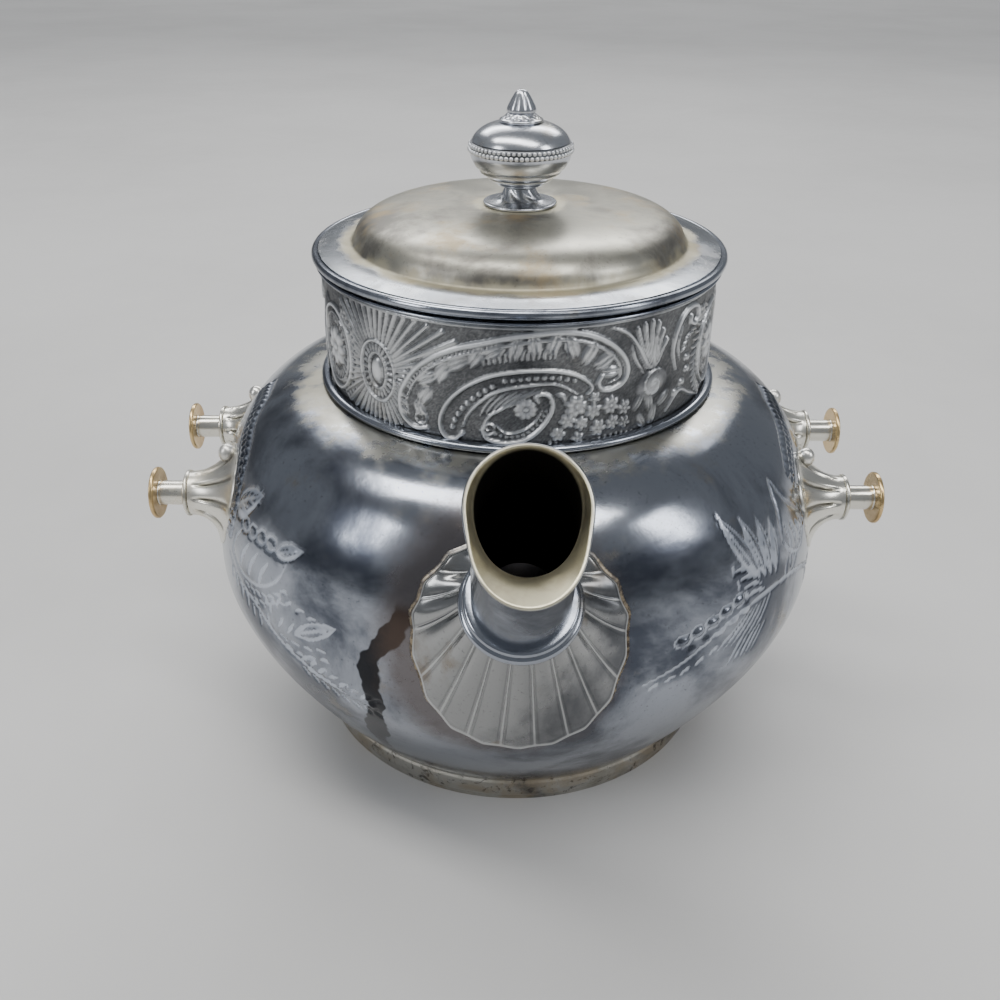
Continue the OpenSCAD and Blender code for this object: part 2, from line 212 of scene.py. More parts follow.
# ---------------------------------------------------------------- relief drawn on a flat map
class Relief:
    """Heights over a grid of map positions: x along the columns, y along the rows."""

    def __init__(self, x, y, repeat=(0,)):
        self.x, self.y, self.repeat = np.asarray(x, float), np.asarray(y, float), repeat
        self.z = np.zeros((len(self.y), len(self.x)))
        self.cut = self.z.copy()

    def lay(self, win, lift, raised):
        """Ridges and cuts are kept apart, so that crossing cuts don't dig deeper."""
        if raised:
            self.z[win] = np.maximum(self.z[win], lift)
        else:
            self.cut[win] = np.minimum(self.cut[win], lift)

    def window(self, x0, x1, y0, y1):
        """The part of the grid inside a box, and its positions."""
        c = slice(*np.searchsorted(self.x, [x0, x1]))
        r = slice(*np.searchsorted(self.y, [y0, y1]))
        gx, gy = np.meshgrid(self.x[c], self.y[r])
        return (r, c), gx, gy

    def near(self, line, reach):
        """Distance to a line and place along it (0 to 1), in a window round the line."""
        lo, hi = line.min(0) - reach, line.max(0) + reach
        win, gx, gy = self.window(lo[0], hi[0], lo[1], hi[1])
        best = np.full(gx.shape, 1e9)
        along = np.zeros(gx.shape)
        n = len(line) - 1
        for k in range(n):
            a, d = line[k], line[k + 1] - line[k]
            t = np.clip(((gx - a[0])*d[0] + (gy - a[1])*d[1])/max(d @ d, 1e-9), 0, 1)
            dist = np.hypot(gx - a[0] - t*d[0], gy - a[1] - t*d[1])
            hit = dist < best
            best[hit] = dist[hit]
            along[hit] = ((k + t)/n)[hit]
        return win, best, along

    def stroke(self, points, width, height, ends=(0.4, 0.4), smooth=True):
        """A rounded ridge, or a groove where height is negative, that tapers to its ends."""
        base = spline(points) if smooth else np.asarray(points, float)
        for dx in self.repeat:
            win, dist, along = self.near(base + [dx, 0], width)
            taper = np.interp(along, [0, 0.25, 0.75, 1], [ends[0], 1, 1, ends[1]])
            half = 0.5*width*taper
            lift = height*np.sqrt(np.clip(1 - (dist/half)**2, 0, 1))*taper**0.5
            self.lay(win, lift, height > 0)

    def dome(self, x, y, rx, ry, height, angle=0.0, power=0.5):
        """A rounded boss with an elliptic outline."""
        c, s = cos_sin(angle)
        reach = max(rx, ry)
        for dx in self.repeat:
            win, gx, gy = self.window(x + dx - reach, x + dx + reach, y - reach, y + reach)
            u = ((gx - x - dx)*c + (gy - y)*s)/rx
            v = (-(gx - x - dx)*s + (gy - y)*c)/ry
            lift = height*np.clip(1 - u*u - v*v, 0, 1)**power
            self.lay(win, lift, height > 0)

    def oval(self, x, y, rx, ry, width, height):
        """A raised elliptic ring."""
        a = np.linspace(0, TAU, 49)
        line = np.stack([x + rx*np.cos(a), y + ry*np.sin(a)], -1)
        self.stroke(line, width, height, ends=(1, 1), smooth=False)

    def flower(self, x, y, r, petals, height, turn=0.0):
        """Round petals about a bead."""
        for k in range(petals):
            a = TAU*k/petals + turn
            self.dome(x + 0.62*r*math.cos(a), y + 0.62*r*math.sin(a), 0.46*r, 0.34*r, height,
                      math.degrees(a), 0.5)
        self.dome(x, y, 0.25*r, 0.25*r, height*1.25)


# ---------------------------------------------------------------- materials
class Shader:
    """A node material that is built with short calls."""

    def __init__(self, name):
        self.material = bpy.data.materials.new(name)
        self.material.use_nodes = True
        self.tree = self.material.node_tree
        self.tree.nodes.clear()
        self.place = self.add("ShaderNodeTexCoord").outputs["Object"]

    def add(self, kind, inputs=(), **settings):
        """A node with its inputs linked or set, and its settings."""
        node = self.tree.nodes.new(kind)
        for key, value in settings.items():
            setattr(node, key, value)
        for key, value in dict(inputs).items():
            if isinstance(value, bpy.types.NodeSocket):
                self.tree.links.new(value, node.inputs[key])
            else:
                node.inputs[key].default_value = value
        return node

    def noise(self, scale, detail=4.0, rough=0.55, distort=0.0, stretch=None):
        """Noise with about this many clouds per metre."""
        where = self.moved((0, 0, 0), stretch) if stretch else self.place
        return self.add("ShaderNodeTexNoise", {"Vector": where, "Scale": scale, "Detail": detail,
                        "Roughness": rough, "Distortion": distort}).outputs["Fac"]

    def ramp(self, value, lo, hi, out_lo=0.0, out_hi=1.0):
        """Maps lo..hi smoothly to out_lo..out_hi."""
        return self.add("ShaderNodeMapRange", {"Value": value, "From Min": lo, "From Max": hi,
                        "To Min": out_lo, "To Max": out_hi},
                        interpolation_type="SMOOTHSTEP").outputs["Result"]

    def math(self, operation, a, b=0.0):
        return self.add("ShaderNodeMath", {0: a, 1: b}, operation=operation).outputs[0]

    def plus(self, a, b):
        return self.math("ADD", a, b)

    def minus(self, a, b):
        return self.math("SUBTRACT", a, b)

    def times(self, a, b):
        return self.math("MULTIPLY", a, b)

    def mix(self, fac, a, b):
        """Colour a where fac is 0, and b where it is 1."""
        node = self.add("ShaderNodeMix", {0: fac}, data_type="RGBA")
        for index, value in ((6, a), (7, b)):
            if isinstance(value, bpy.types.NodeSocket):
                self.tree.links.new(value, node.inputs[index])
            else:
                node.inputs[index].default_value = (*value, 1)
        return node.outputs[2]

    def parts(self, vector):
        """The x, y and z of a vector."""
        return self.add("ShaderNodeSeparateXYZ", {0: vector}).outputs

    def moved(self, offset, scale=(1, 1, 1)):
        """The place, scaled and then shifted."""
        return self.add("ShaderNodeMapping", {"Vector": self.place, "Location": offset,
                        "Scale": scale}).outputs[0]

    def attribute(self, name):
        """A number stored on the mesh by mark()."""
        return self.add("ShaderNodeAttribute", attribute_name=name).outputs["Fac"]

    def finish(self, colour, rough, bumps, metallic=1.0):
        """Closes the material. Each bump is a height and its depth in mm, one on top of the other."""
        inputs = {"Base Color": colour, "Roughness": rough, "Metallic": metallic}
        for value, depth in bumps:
            bump = {"Height": value, "Strength": 1.0, "Distance": depth*MM}
            if "Normal" in inputs:
                bump["Normal"] = inputs["Normal"]
            inputs["Normal"] = self.add("ShaderNodeBump", bump).outputs[0]
        shader = self.add("ShaderNodeBsdfPrincipled", inputs)
        self.add("ShaderNodeOutputMaterial", {"Surface": shader.outputs[0]})
        return self.material


def silver(name, bright, dark, warm, dull=0.5, gloss=(0.16, 0.34), patches=28.0, relief=False,
           dents=0.05, grit=0.5, warmth=0.5, extra=None):
    """Silver plate: bright metal, grey tarnish in clouds and specks, warm worn patches, hairline scratches
    and soft dents. With relief, the attribute of that name paints shade into the hollows and a painted
    highlight on the crests."""
    s = Shader(name)
    clouds = s.noise(patches, 6, 0.6, 0.4)
    tarnish = s.ramp(clouds, 0.62 - 0.3*dull, 0.78 - 0.2*dull)
    colour = s.mix(tarnish, bright, dark)
    warm_spots = s.ramp(s.noise(patches*1.7, 5, 0.65), 0.62 - 0.22*warmth, 0.80 - 0.2*warmth, 0, 0.8)
    colour = s.mix(warm_spots, colour, warm)
    specks = s.ramp(s.noise(1100, 3, 0.7), 0.60, 0.72, 0, grit)
    colour = s.mix(specks, colour, tuple(0.35*c for c in dark))
    rough = s.ramp(clouds, 0.35, 0.7, gloss[0], gloss[1])
    rough = s.plus(rough, s.times(warm_spots, 0.14))
    if relief:
        # Painted light: the relief mark paints shade, a darker colour, into hollows and a painted highlight,
        # a brighter colour, on crests and bright cuts
        painted_light_level = s.attribute("relief")
        hollow_shade = s.ramp(painted_light_level, 0.0, 0.5, 1.0, 0.0)
        colour = s.mix(s.times(hollow_shade, 0.8), colour, tuple(0.4*c for c in dark))
        crest_highlight = s.ramp(painted_light_level, 0.55, 1.0)
        colour = s.mix(s.times(crest_highlight, 0.8), colour, tuple(min(1, 1.7*c) for c in bright))
        rough = s.plus(rough, s.times(s.math("MAXIMUM", hollow_shade, crest_highlight), 0.16))
    if extra:
        colour, rough = extra(s, colour, rough)
    scratches = s.noise(900, 2, 0.5, 0.0, (1.0, 1.0, 0.06))
    return s.finish(colour, rough, ((s.noise(26, 2, 0.4), dents*6), (scratches, 0.006),
                                    (s.noise(420, 3, 0.6), 0.012)))


def body_patina_and_shade(s, colour, rough):
    """Cream polish left under the neck band, a dark run beside the spout and brown round it, and painted
    shade, near black, where the belly lies inside the spout's foot.
    """
    ragged = s.plus(s.parts(s.place)[2], s.times(s.noise(160, 4, 0.6), 0.010))
    cream = s.ramp(ragged, 0.1128, 0.1160, 0, 0.6)
    colour = s.mix(cream, colour, (0.46, 0.43, 0.33))
    rough = s.plus(rough, s.times(cream, 0.25))
    # Dark run: it leaves the shell's edge, leans away from it and then drops straight
    x, y, z = s.parts(s.moved((0.0362, 0.084, -0.055)))
    wobble = s.times(s.minus(s.noise(70, 3), 0.5), 0.012)
    lean = s.ramp(z, 0.008, 0.030, 0, -0.0095)
    across = s.math("ABSOLUTE", s.plus(s.plus(x, wobble), lean))
    width = s.ramp(across, 0.0022, 0.0028, 1, 0)
    low = s.ramp(z, -0.034, -0.030, 0, 1)
    high = s.ramp(z, 0.027, 0.031, 1, 0)
    front = s.ramp(y, 0.03, 0.05, 1, 0)
    run_mask = s.times(s.times(width, low), s.times(high, front))
    colour = s.mix(s.times(run_mask, 0.95), colour, (0.014, 0.014, 0.016))
    # Brown cloud round the shell
    about = s.moved((0.006, 0.086, -0.076), (1.25, 1.0, 1.0))
    distance = s.add("ShaderNodeVectorMath", {0: about}, operation="LENGTH").outputs["Value"]
    distance = s.plus(distance, s.times(s.noise(90, 5, 0.7), 0.014))
    halo = s.ramp(distance, 0.037, 0.049, 0.7, 0)
    colour = s.mix(halo, colour, (0.10, 0.072, 0.058))
    rough = s.plus(rough, s.times(halo, 0.15))
    # Painted shade: where the relief mark is below zero, inside the spout's foot, the belly is made near
    # black
    spout_foot_shade = s.ramp(s.attribute("relief"), -0.9, -0.2, 1, 0)
    return s.mix(spout_foot_shade, colour, (0.004, 0.004, 0.004)), rough


def lid_patina(s, colour, rough):
    """The dome is dull and yellow-grey, and the flange is cleaner and bluish."""
    x, y, _ = s.parts(s.place)
    out = s.math("SQRT", s.plus(s.math("POWER", x, 2.0), s.math("POWER", y, 2.0)))
    ragged = s.plus(out, s.times(s.minus(s.noise(120, 4), 0.5), 0.006))
    flange = s.ramp(ragged, 0.0475, 0.0495)
    colour = s.mix(s.times(flange, 0.75), colour, (0.34, 0.37, 0.42))
    crease = s.math("ABSOLUTE", s.minus(ragged, 0.0462))
    grime = s.ramp(crease, 0.0004, 0.0022, 0.65, 0)
    colour = s.mix(grime, colour, (0.50, 0.46, 0.33))
    wax = s.ramp(ragged, 0.0108, 0.0135, 0.7, 0)
    colour = s.mix(wax, colour, (0.62, 0.58, 0.44))
    rough = s.minus(rough, s.times(flange, 0.14))
    rough = s.plus(rough, s.times(s.math("MAXIMUM", grime, wax), 0.25))
    return colour, rough


def foot_patina(s, colour, rough):
    """Plate worn through to warm metal, and dark scabs."""
    worn = s.ramp(s.noise(55, 6, 0.7, 0.6), 0.46, 0.62)
    colour = s.mix(s.times(worn, 0.75), colour, (0.42, 0.36, 0.27))
    scabs = s.ramp(s.noise(210, 5, 0.75, 1.0), 0.56, 0.66)
    colour = s.mix(s.times(scabs, 0.75), colour, (0.07, 0.06, 0.055))
    return colour, s.plus(rough, s.times(scabs, 0.25))


def mouth_painted_light(s, colour, rough):
    """Painted light in the mouth: pale yellow inside the lip, a colour made bright as painted light from
    above, and painted shade, black, down the bore.
    """
    inner = s.attribute("inside")
    streaks = s.ramp(s.noise(300, 4, 0.6), 0.45, 0.7, 0, 0.4)
    lit_lip_cream = s.mix(streaks, (0.86, 0.80, 0.58), (0.58, 0.49, 0.32))
    colour = s.mix(inner, colour, lit_lip_cream)
    # Painted shade: the bore is black
    bore = s.attribute("bore")
    colour = s.mix(bore, colour, (0.010, 0.009, 0.008))
    rough = s.plus(rough, s.times(inner, 0.16))
    return colour, s.plus(rough, s.times(bore, 0.35))


def shell_patina(s, colour, rough):
    """A crust of brown solder along the edge."""
    crust = s.attribute("solder")
    grains = s.ramp(s.noise(620, 4, 0.7), 0.42, 0.6)
    brown = s.mix(grains, (0.07, 0.05, 0.035), (0.36, 0.29, 0.19))
    return s.mix(crust, colour, brown), s.plus(rough, s.times(crust, 0.25))


BRIGHT, DARK, WARM = (0.35, 0.375, 0.425), (0.075, 0.085, 0.11), (0.30, 0.27, 0.21)
body_metal = silver("belly_silver", BRIGHT, DARK, WARM, dull=0.62, gloss=(0.13, 0.27),
                    relief=True, warmth=0.12, extra=body_patina_and_shade)
plain_metal = silver("plain_silver", BRIGHT, DARK, WARM, dull=0.5, gloss=(0.14, 0.26), warmth=0.2)
band_metal = silver("band_silver", (0.50, 0.51, 0.52), (0.13, 0.135, 0.145), WARM, dull=0.5,
                    gloss=(0.26, 0.40), relief=True, dents=0.0, warmth=0.25)
lid_metal = silver("lid_silver", (0.47, 0.455, 0.39), (0.19, 0.18, 0.16), (0.40, 0.32, 0.20),
                   dull=0.6, gloss=(0.30, 0.46), patches=40, warmth=0.6, extra=lid_patina)
foot_metal = silver("foot_silver", (0.50, 0.49, 0.45), (0.16, 0.15, 0.14), WARM, dull=0.6,
                    gloss=(0.30, 0.48), extra=foot_patina)
shell_metal = silver("shell_silver", (0.34, 0.345, 0.345), (0.115, 0.12, 0.13), (0.21, 0.17, 0.125),
                     dull=0.6, gloss=(0.20, 0.34), relief=True, warmth=0.35, extra=shell_patina)
cast_metal = silver("cast_silver", (0.78, 0.76, 0.68), (0.36, 0.34, 0.30), (0.70, 0.62, 0.46),
                    dull=0.3, gloss=(0.22, 0.36), relief=True, dents=0.02, warmth=0.5)
finial_metal = silver("finial_silver", (0.62, 0.64, 0.68), (0.22, 0.225, 0.24), (0.50, 0.46, 0.36),
                      dull=0.42, gloss=(0.16, 0.30), relief=True, dents=0.02, warmth=0.35)
mouth_metal = silver("mouth_silver", BRIGHT, DARK, WARM, dull=0.62, gloss=(0.18, 0.32), warmth=0.3,
                     extra=mouth_painted_light)
brass_metal = silver("worn_brass", (0.72, 0.53, 0.27), (0.25, 0.16, 0.09), (0.55, 0.36, 0.17),
                     dull=0.5, gloss=(0.26, 0.42), dents=0.0, warmth=0.6)


def bone_material():
    """Old bone: long grain and dark pores."""
    s = Shader("bone")
    rings = s.noise(260, 4, 0.6, 0.3, (1, 1, 0.25))
    colour = s.mix(s.ramp(rings, 0.4, 0.65), (0.72, 0.64, 0.48), (0.46, 0.36, 0.22))
    pores = s.ramp(s.noise(1500, 2), 0.62, 0.7)
    colour = s.mix(s.times(pores, 0.6), colour, (0.16, 0.11, 0.06))
    return s.finish(colour, s.ramp(rings, 0.3, 0.7, 0.35, 0.55), ((pores, -0.03),), 0.0)


def floor_material():
    """A plain pale table top with faint clouds."""
    s = Shader("pale_floor")
    cloud = s.noise(3, 5, 0.6)
    colour = s.mix(s.ramp(cloud, 0.35, 0.7), (0.66, 0.655, 0.645), (0.60, 0.595, 0.585))
    return s.finish(colour, s.ramp(s.noise(40, 4), 0.3, 0.7, 0.55, 0.7), ((s.noise(700, 3), 0.02),), 0.0)


# ---------------------------------------------------------------- belly
t_fine = np.linspace(0, 1, 400)
low_arc = bezier([(FOOT_TOP_R, FOOT_H), (FOOT_TOP_R + 11, FOOT_H + 14),
                  (BELLY_R, BELLY_Z - 14), (BELLY_R, BELLY_Z)], t_fine)
high_arc = bezier([(BELLY_R, BELLY_Z), (BELLY_R, BELLY_Z + 24),
                   (BELLY_R - 10, SHOULDER_Z - 1.6), (SHOULDER_R, SHOULDER_Z)], t_fine)
belly_line = np.vstack([low_arc, high_arc[1:]])


def belly_at(z):
    """The belly's radius at a height."""
    return np.interp(z, belly_line[:, 1], belly_line[:, 0])


def on_belly(x, z, gap=0.0):
    """The y of the belly's front at that x and height, a gap outside it."""
    r = belly_at(z) + gap
    return -np.sqrt(np.maximum(r*r - x*x, 0))


def chased_stem(relief, points, width=1.0, depth=-0.3):
    """One long cut, fading to its ends."""
    relief.stroke(points, width, depth, (0.6, 0.4))


def chased_leaf(relief, base, tip, belly, veins=5, rise=0.45):
    """A pointed leaf: a swollen blade, a midrib, cut edges and slanting veins."""
    base, tip = np.array(base, float), np.array(tip, float)
    way = tip - base
    side = np.array([-way[1], way[0]])
    mid = (base + tip)/2
    length = np.linalg.norm(way)
    relief.dome(mid[0], mid[1], 0.5*length, belly*length, rise,
                math.degrees(math.atan2(way[1], way[0])), 0.7)
    for sign in (-1, 1):
        edge = [base, base + 0.3*way + sign*belly*0.95*side, base + 0.65*way + sign*belly*0.8*side, tip]
        relief.stroke(edge, 1.2, -0.40, ends=(0.7, 0.4))
        for k in range(veins):
            f = 0.18 + 0.62*k/max(veins - 1, 1)
            root = base + f*way
            end = base + (f + 0.16)*way + sign*belly*0.7*side
            relief.stroke([root, (root + end)/2 + 0.02*way, end], 0.8, -0.22, ends=(0.9, 0.4))
    relief.stroke([base, mid + 0.02*side, tip], 0.9, -0.28, ends=(0.9, 0.4))


def chased_ticks(relief, points, length, angle, pitch=2.7, width=1.15, depth=-0.36):
    """Short cuts or ridges along a line, turned to one side of it."""
    line = spaced(points, pitch, 3)
    c, s = cos_sin(angle)
    for p, w in zip(line, directions(line)):
        d = np.array([w[0]*c - w[1]*s, w[0]*s + w[1]*c])
        bend = np.array([-d[1], d[0]])*length*0.12
        relief.stroke([p, p + 0.5*length*d + bend, p + length*d], width, depth, ends=(0.9, 0.2))


def chased_rope(relief, points, width=4.2, pitch=2.4):
    """A plaited border: slanting swollen strands between two cut lines."""
    line = spaced(points, pitch, 2)
    way = directions(line)
    side = left_of(way)
    for sign in (-1, 1):
        for (x, y), w in zip(line + sign*0.23*width*side, way):
            relief.dome(x, y, 0.36*width, 0.85, 0.5, math.degrees(math.atan2(w[1], w[0])) + sign*38)
        relief.stroke(line + sign*0.55*width*side, 1.0, -0.28, (1, 1), False)


def chase_left(relief):
    """Rope border, bell, bud, spray and ears of corn on the left flank."""
    chased_rope(relief, [(-141, 103), (-128, 102.5), (-118, 99), (-108, 96), (-102.5, 91), (-100, 84),
                         (-101, 77)])
    # Bell and bud: swollen cups, and a row of loops along the bell's lip
    relief.dome(-82, 78, 13.5, 7, 0.6, 8, 0.8)
    relief.dome(-64, 67.5, 8, 4.4, 0.5, 20, 0.8)
    for k in range(4):
        relief.oval(-89.5 + 4.9*k, 84.6 + 0.35*k, 2.3, 1.7, 0.9, -0.42)
    for x in (-88.5, -83, -77.5):
        chased_stem(relief, [(x, 73.6), (x + 1.1, 77), (x + 3.6, 81)], 1.3, -0.4)
    for x in (-68, -64):
        chased_stem(relief, [(x, 65.5), (x + 2, 69)], 1.0, -0.36)
    for stem in (([(-96, 74), (-94.5, 78.5), (-91.5, 82.5)], 1.3),
                 ([(-96, 74), (-88, 71.2), (-78, 72.5), (-70, 77.5), (-66.5, 84)], 1.3),
                 ([(-99, 72), (-92, 68.6), (-85, 67), (-79, 65.5), (-73, 62.5), (-66, 59.5),
                   (-58, 57), (-50, 55), (-44, 52.5), (-37, 51)], 1.3, -0.34),
                 ([(-128, 52), (-124, 47), (-120, 40), (-115, 33), (-108, 27), (-101, 24)], 1.3, -0.34)):
        chased_stem(relief, *stem)
    for leaf in (((-98, 86.5), (-85, 94), 0.2, 4), ((-97.5, 86), (-90, 87), 0.22, 2),
                 ((-72, 84.3), (-61.5, 88.5), 0.14, 0), ((-61.5, 66), (-47.5, 73.4), 0.12, 0),
                 ((-120, 40), (-137, 31), 0.2, 5), ((-116, 34), (-100, 37.5), 0.2, 5),
                 ((-109, 28), (-122, 18.5), 0.2, 4), ((-124, 48), (-110, 50.5), 0.22, 4),
                 ((-132, 60), (-118, 66), 0.2, 4), ((-133, 60), (-139, 72), 0.2, 4)):
        chased_leaf(relief, *leaf)
    # Ears of corn: two rows of grains below the stem
    for k in range(9):
        x = -58 + 2.3*k
        relief.dome(x, 59.8 - 0.55*k + 0.8*math.sin(2.1*k), 1.5, 0.95, 0.5, 35)
        relief.dome(x + 0.9, 56.4 - 0.5*k, 1.5, 0.9, 0.45, -25)
    for ticks in (([(-86, 69.6), (-79, 70.2), (-73, 72), (-68, 75.5)], 3.2, -30),
                  ([(-90, 66.8), (-82, 67), (-75, 69), (-69, 72)], 3.2, -30),
                  ([(-96, 69), (-90, 66.6), (-84, 65.4), (-78, 63.6)], 3.6, -70),
                  ([(-73, 63.5), (-71.5, 69), (-66, 72.6), (-58, 72.6), (-53, 71)], 3.0, 18, 3.4),
                  ([(-68, 62.6), (-61, 62.8), (-54, 64.5)], 3.0, -16, 3.2),
                  ([(-66, 60.2), (-60, 60.2), (-53, 62)], 3.0, -16, 3.2),
                  ([(-60, 58.5), (-52, 57.5), (-46, 55.5), (-38, 53.6)], 3.4, 42),
                  ([(-60, 55.8), (-52, 53.0), (-44, 50.6), (-38, 49.5)], 3.0, -45),
                  ([(-127, 51), (-122, 44), (-117, 36), (-110, 29)], 4.0, 48),
                  ([(-103, 25), (-97, 23.5), (-90, 24.5)], 3.6, 45)):
        chased_ticks(relief, *ticks)


def chase_right(relief):
    """Pointed blades, bell, berries, a fan of long cuts and a rope border on the right flank."""
    chased_rope(relief, [(141, 103), (128, 102.5), (118, 100), (108, 97.5), (101, 94)])
    # Blades that fan out from the stem, and a pile of short cuts beside them
    for k, tip in enumerate(((58.5, 98), (66.5, 96), (73.5, 94), (79.5, 91))):
        chased_leaf(relief, (70.5 + 2.6*k, 79.5 - 0.6*k), tip, 0.1, 0)
    for k in range(4):
        chased_stem(relief, [(61 + 1.3*k, 84.5 - 2.6*k), (65 + 1.2*k, 84 - 2.5*k), (69 + k, 82 - 2.1*k)],
                    1.2, -0.42)
    # Bell with a pointed middle petal
    relief.dome(90, 86, 11, 8, 0.55, -25, 0.8)
    for x in (85.5, 89, 92.5, 96.5):
        chased_stem(relief, [(x, 87.5 - 0.25*(x - 85)), (x + 1.6, 83), (x + 2.4, 79.3)], 0.9, -0.34)
    # Two rows of berries above the near end of the stem, the upper one outlined
    for k in range(5):
        x, y = 42 + 4.8*k, 69.6 + 1.15*k
        relief.oval(x, y + 2.6, 2.4, 1.6, 0.8, -0.32)
        relief.dome(x, y + 2.6, 1.9, 1.1, 0.6, 20)
        relief.dome(x + 2.6, y - 0.8, 2.0, 1.1, 0.6, 20)
    # Long cuts that fan down from the stem
    for k in range(6):
        chased_stem(relief, [(75 - 2.2*k, 73 - 0.2*k), (71.5 - 2.6*k, 68.5), (66 - 2.6*k, 63.5 + 0.3*k)], 1.1)
    for k in range(5):
        chased_stem(relief, [(72.5 - 2.4*k, 65.5), (69.5 - 2.4*k, 62), (67.5 - 2.4*k, 59)], 1.2, -0.4)
    for stem in (([(31, 62.5), (42, 66), (52, 70.5), (62, 73.2), (74, 74), (86, 72.8), (98, 69),
                   (108, 63), (118, 55.5), (125, 47.5), (129, 38), (131, 27)], 1.35, -0.36),
                 ([(83, 84), (84, 90), (87, 98), (90.5, 92), (96, 88), (102, 83)], 1.3, -0.36),
                 ([(83, 84), (88, 79), (96, 76.5), (102, 83)], 1.2, -0.34),
                 ([(93, 77.5), (91, 75), (88, 73)], 1.1, -0.34)):
        chased_stem(relief, *stem)
    for leaf in (((121, 53), (136, 57), 0.2, 5), ((112, 60), (110, 47), 0.2, 4),
                 ((128, 42), (141, 45), 0.22, 4), ((129, 36), (116, 40), 0.2, 4),
                 ((130, 30), (141, 33), 0.2, 4), ((131, 27), (120, 19), 0.2, 4)):
        chased_leaf(relief, *leaf)
    relief.flower(118, 31, 6.5, 6, 0.6)
    for ticks in (([(60, 86), (61, 82), (64, 78)], 2.6, -30),
                  ([(84, 74.5), (92, 76), (100, 80), (105, 86)], 4.4, 50),
                  ([(33, 60.8), (43, 63), (52, 65.8), (60, 68)], 3.0, 4, 3.8),
                  ([(104, 66), (112, 60.5), (120, 53), (126, 44)], 4.2, 45),
                  ([(103, 65), (111, 58.5), (118, 51)], 4.0, -48)):
        chased_ticks(relief, *ticks)


# The chased flanks have a fine grid of columns, the front and the back a coarse one
CHASED_FROM, CHASED_TO = 30.0, 142.0
FINE, COARSE = 0.56, 3.0
STRAINER_Z, STRAINER_R = 82, 11
half_turn = math.pi*BELLY_R
columns = np.concatenate([
    np.arange(-half_turn, -CHASED_TO, COARSE), np.arange(-CHASED_TO, -CHASED_FROM, FINE),
    np.arange(-CHASED_FROM, CHASED_FROM, COARSE), np.arange(CHASED_FROM, CHASED_TO, FINE),
    np.arange(CHASED_TO, half_turn - 1, COARSE)])
azimuth = columns/BELLY_R
skin_rows = even_steps(belly_line, 180)
chasing = Relief(columns, skin_rows[:, 1])
chase_left(chasing)
chase_right(chasing)
outwards = -left_of(directions(skin_rows))
lift = chasing.z + chasing.cut
skin = turned(skin_rows[:, :1] + outwards[:, :1]*lift, skin_rows[:, 1:] + outwards[:, 1:]*lift, azimuth)
lining_rows = even_steps(belly_line, 12)[::-1] - np.array([1.6, 0])
lining_rows[:, 1] = np.clip(lining_rows[:, 1], FOOT_H + WALL, SHOULDER_Z)
lining = turned(lining_rows[:, :1], lining_rows[:, 1:], azimuth)
belly_points = np.concatenate([skin.reshape(-1, 3), lining.reshape(-1, 3),
                               [[0, 0, FOOT_H + WALL], [0, 0, FOOT_H]]])
n_rows, n_cols = len(skin) + len(lining), len(columns)
belly_faces = grid_faces(n_rows, n_cols, False)
belly_faces += cap_faces((n_rows - 1)*n_cols, n_cols, n_rows*n_cols, False)
belly_faces += cap_faces(0, n_cols, n_rows*n_cols + 1, True)
belly = new_piece("belly", belly_points, belly_faces, body_metal, "pot", ["body"], sharp=75)
# Painted light on the chasing: cuts and raised work get a painted highlight that grows with their depth or
# height
painted_light_level = np.full(len(belly_points), 0.5)
painted_light_level[:lift.size] = (0.5 + 0.3*chasing.z - 1.5*chasing.cut).ravel()
# A patch of painted shade at the foot of the spout, inside its bore, stands for the strainer's holes
from_strainer = np.hypot(belly_points[:, 0], belly_points[:, 2] - STRAINER_Z)
painted_light_level[(from_strainer < STRAINER_R) & (belly_points[:, 1] < 0)] = -1
mark(belly, "relief", painted_light_level)


# ---------------------------------------------------------------- neck band
BAND_MAP_R = 54.3
HALF_BAND = math.pi*BAND_MAP_R


def offset_line(points, distance):
    """A smooth line beside another."""
    line = spline(points)
    return line + distance*left_of(directions(line))


def scroll(relief, centre, radius, start, turns, width, height):
    """A spiral that winds inwards."""
    a = np.linspace(0, turns*TAU, int(abs(turns)*28) + 4)
    r = radius*(1 - 0.72*np.abs(a)/(abs(turns)*TAU))
    a = a + math.radians(start)
    relief.stroke(np.stack([centre[0] + r*np.cos(a), centre[1] + r*np.sin(a)], -1), width, height,
                  ends=(1, 0.7), smooth=False)


def beads(relief, points, pitch, radius, height):
    """A row of round beads."""
    for x, y in spaced(points, pitch, 2):
        relief.dome(x, y, radius, radius, height)


def bars(relief, x, y, count, inner, outer, width, height):
    """Short bars from an inner oval to an outer one, each given as its two half widths."""
    for k in range(count):
        a = TAU*k/count
        ends = [(x + rx*math.cos(a), y + ry*math.sin(a)) for rx, ry in (inner, outer)]
        relief.stroke(ends, width, height, (1, 1), False)


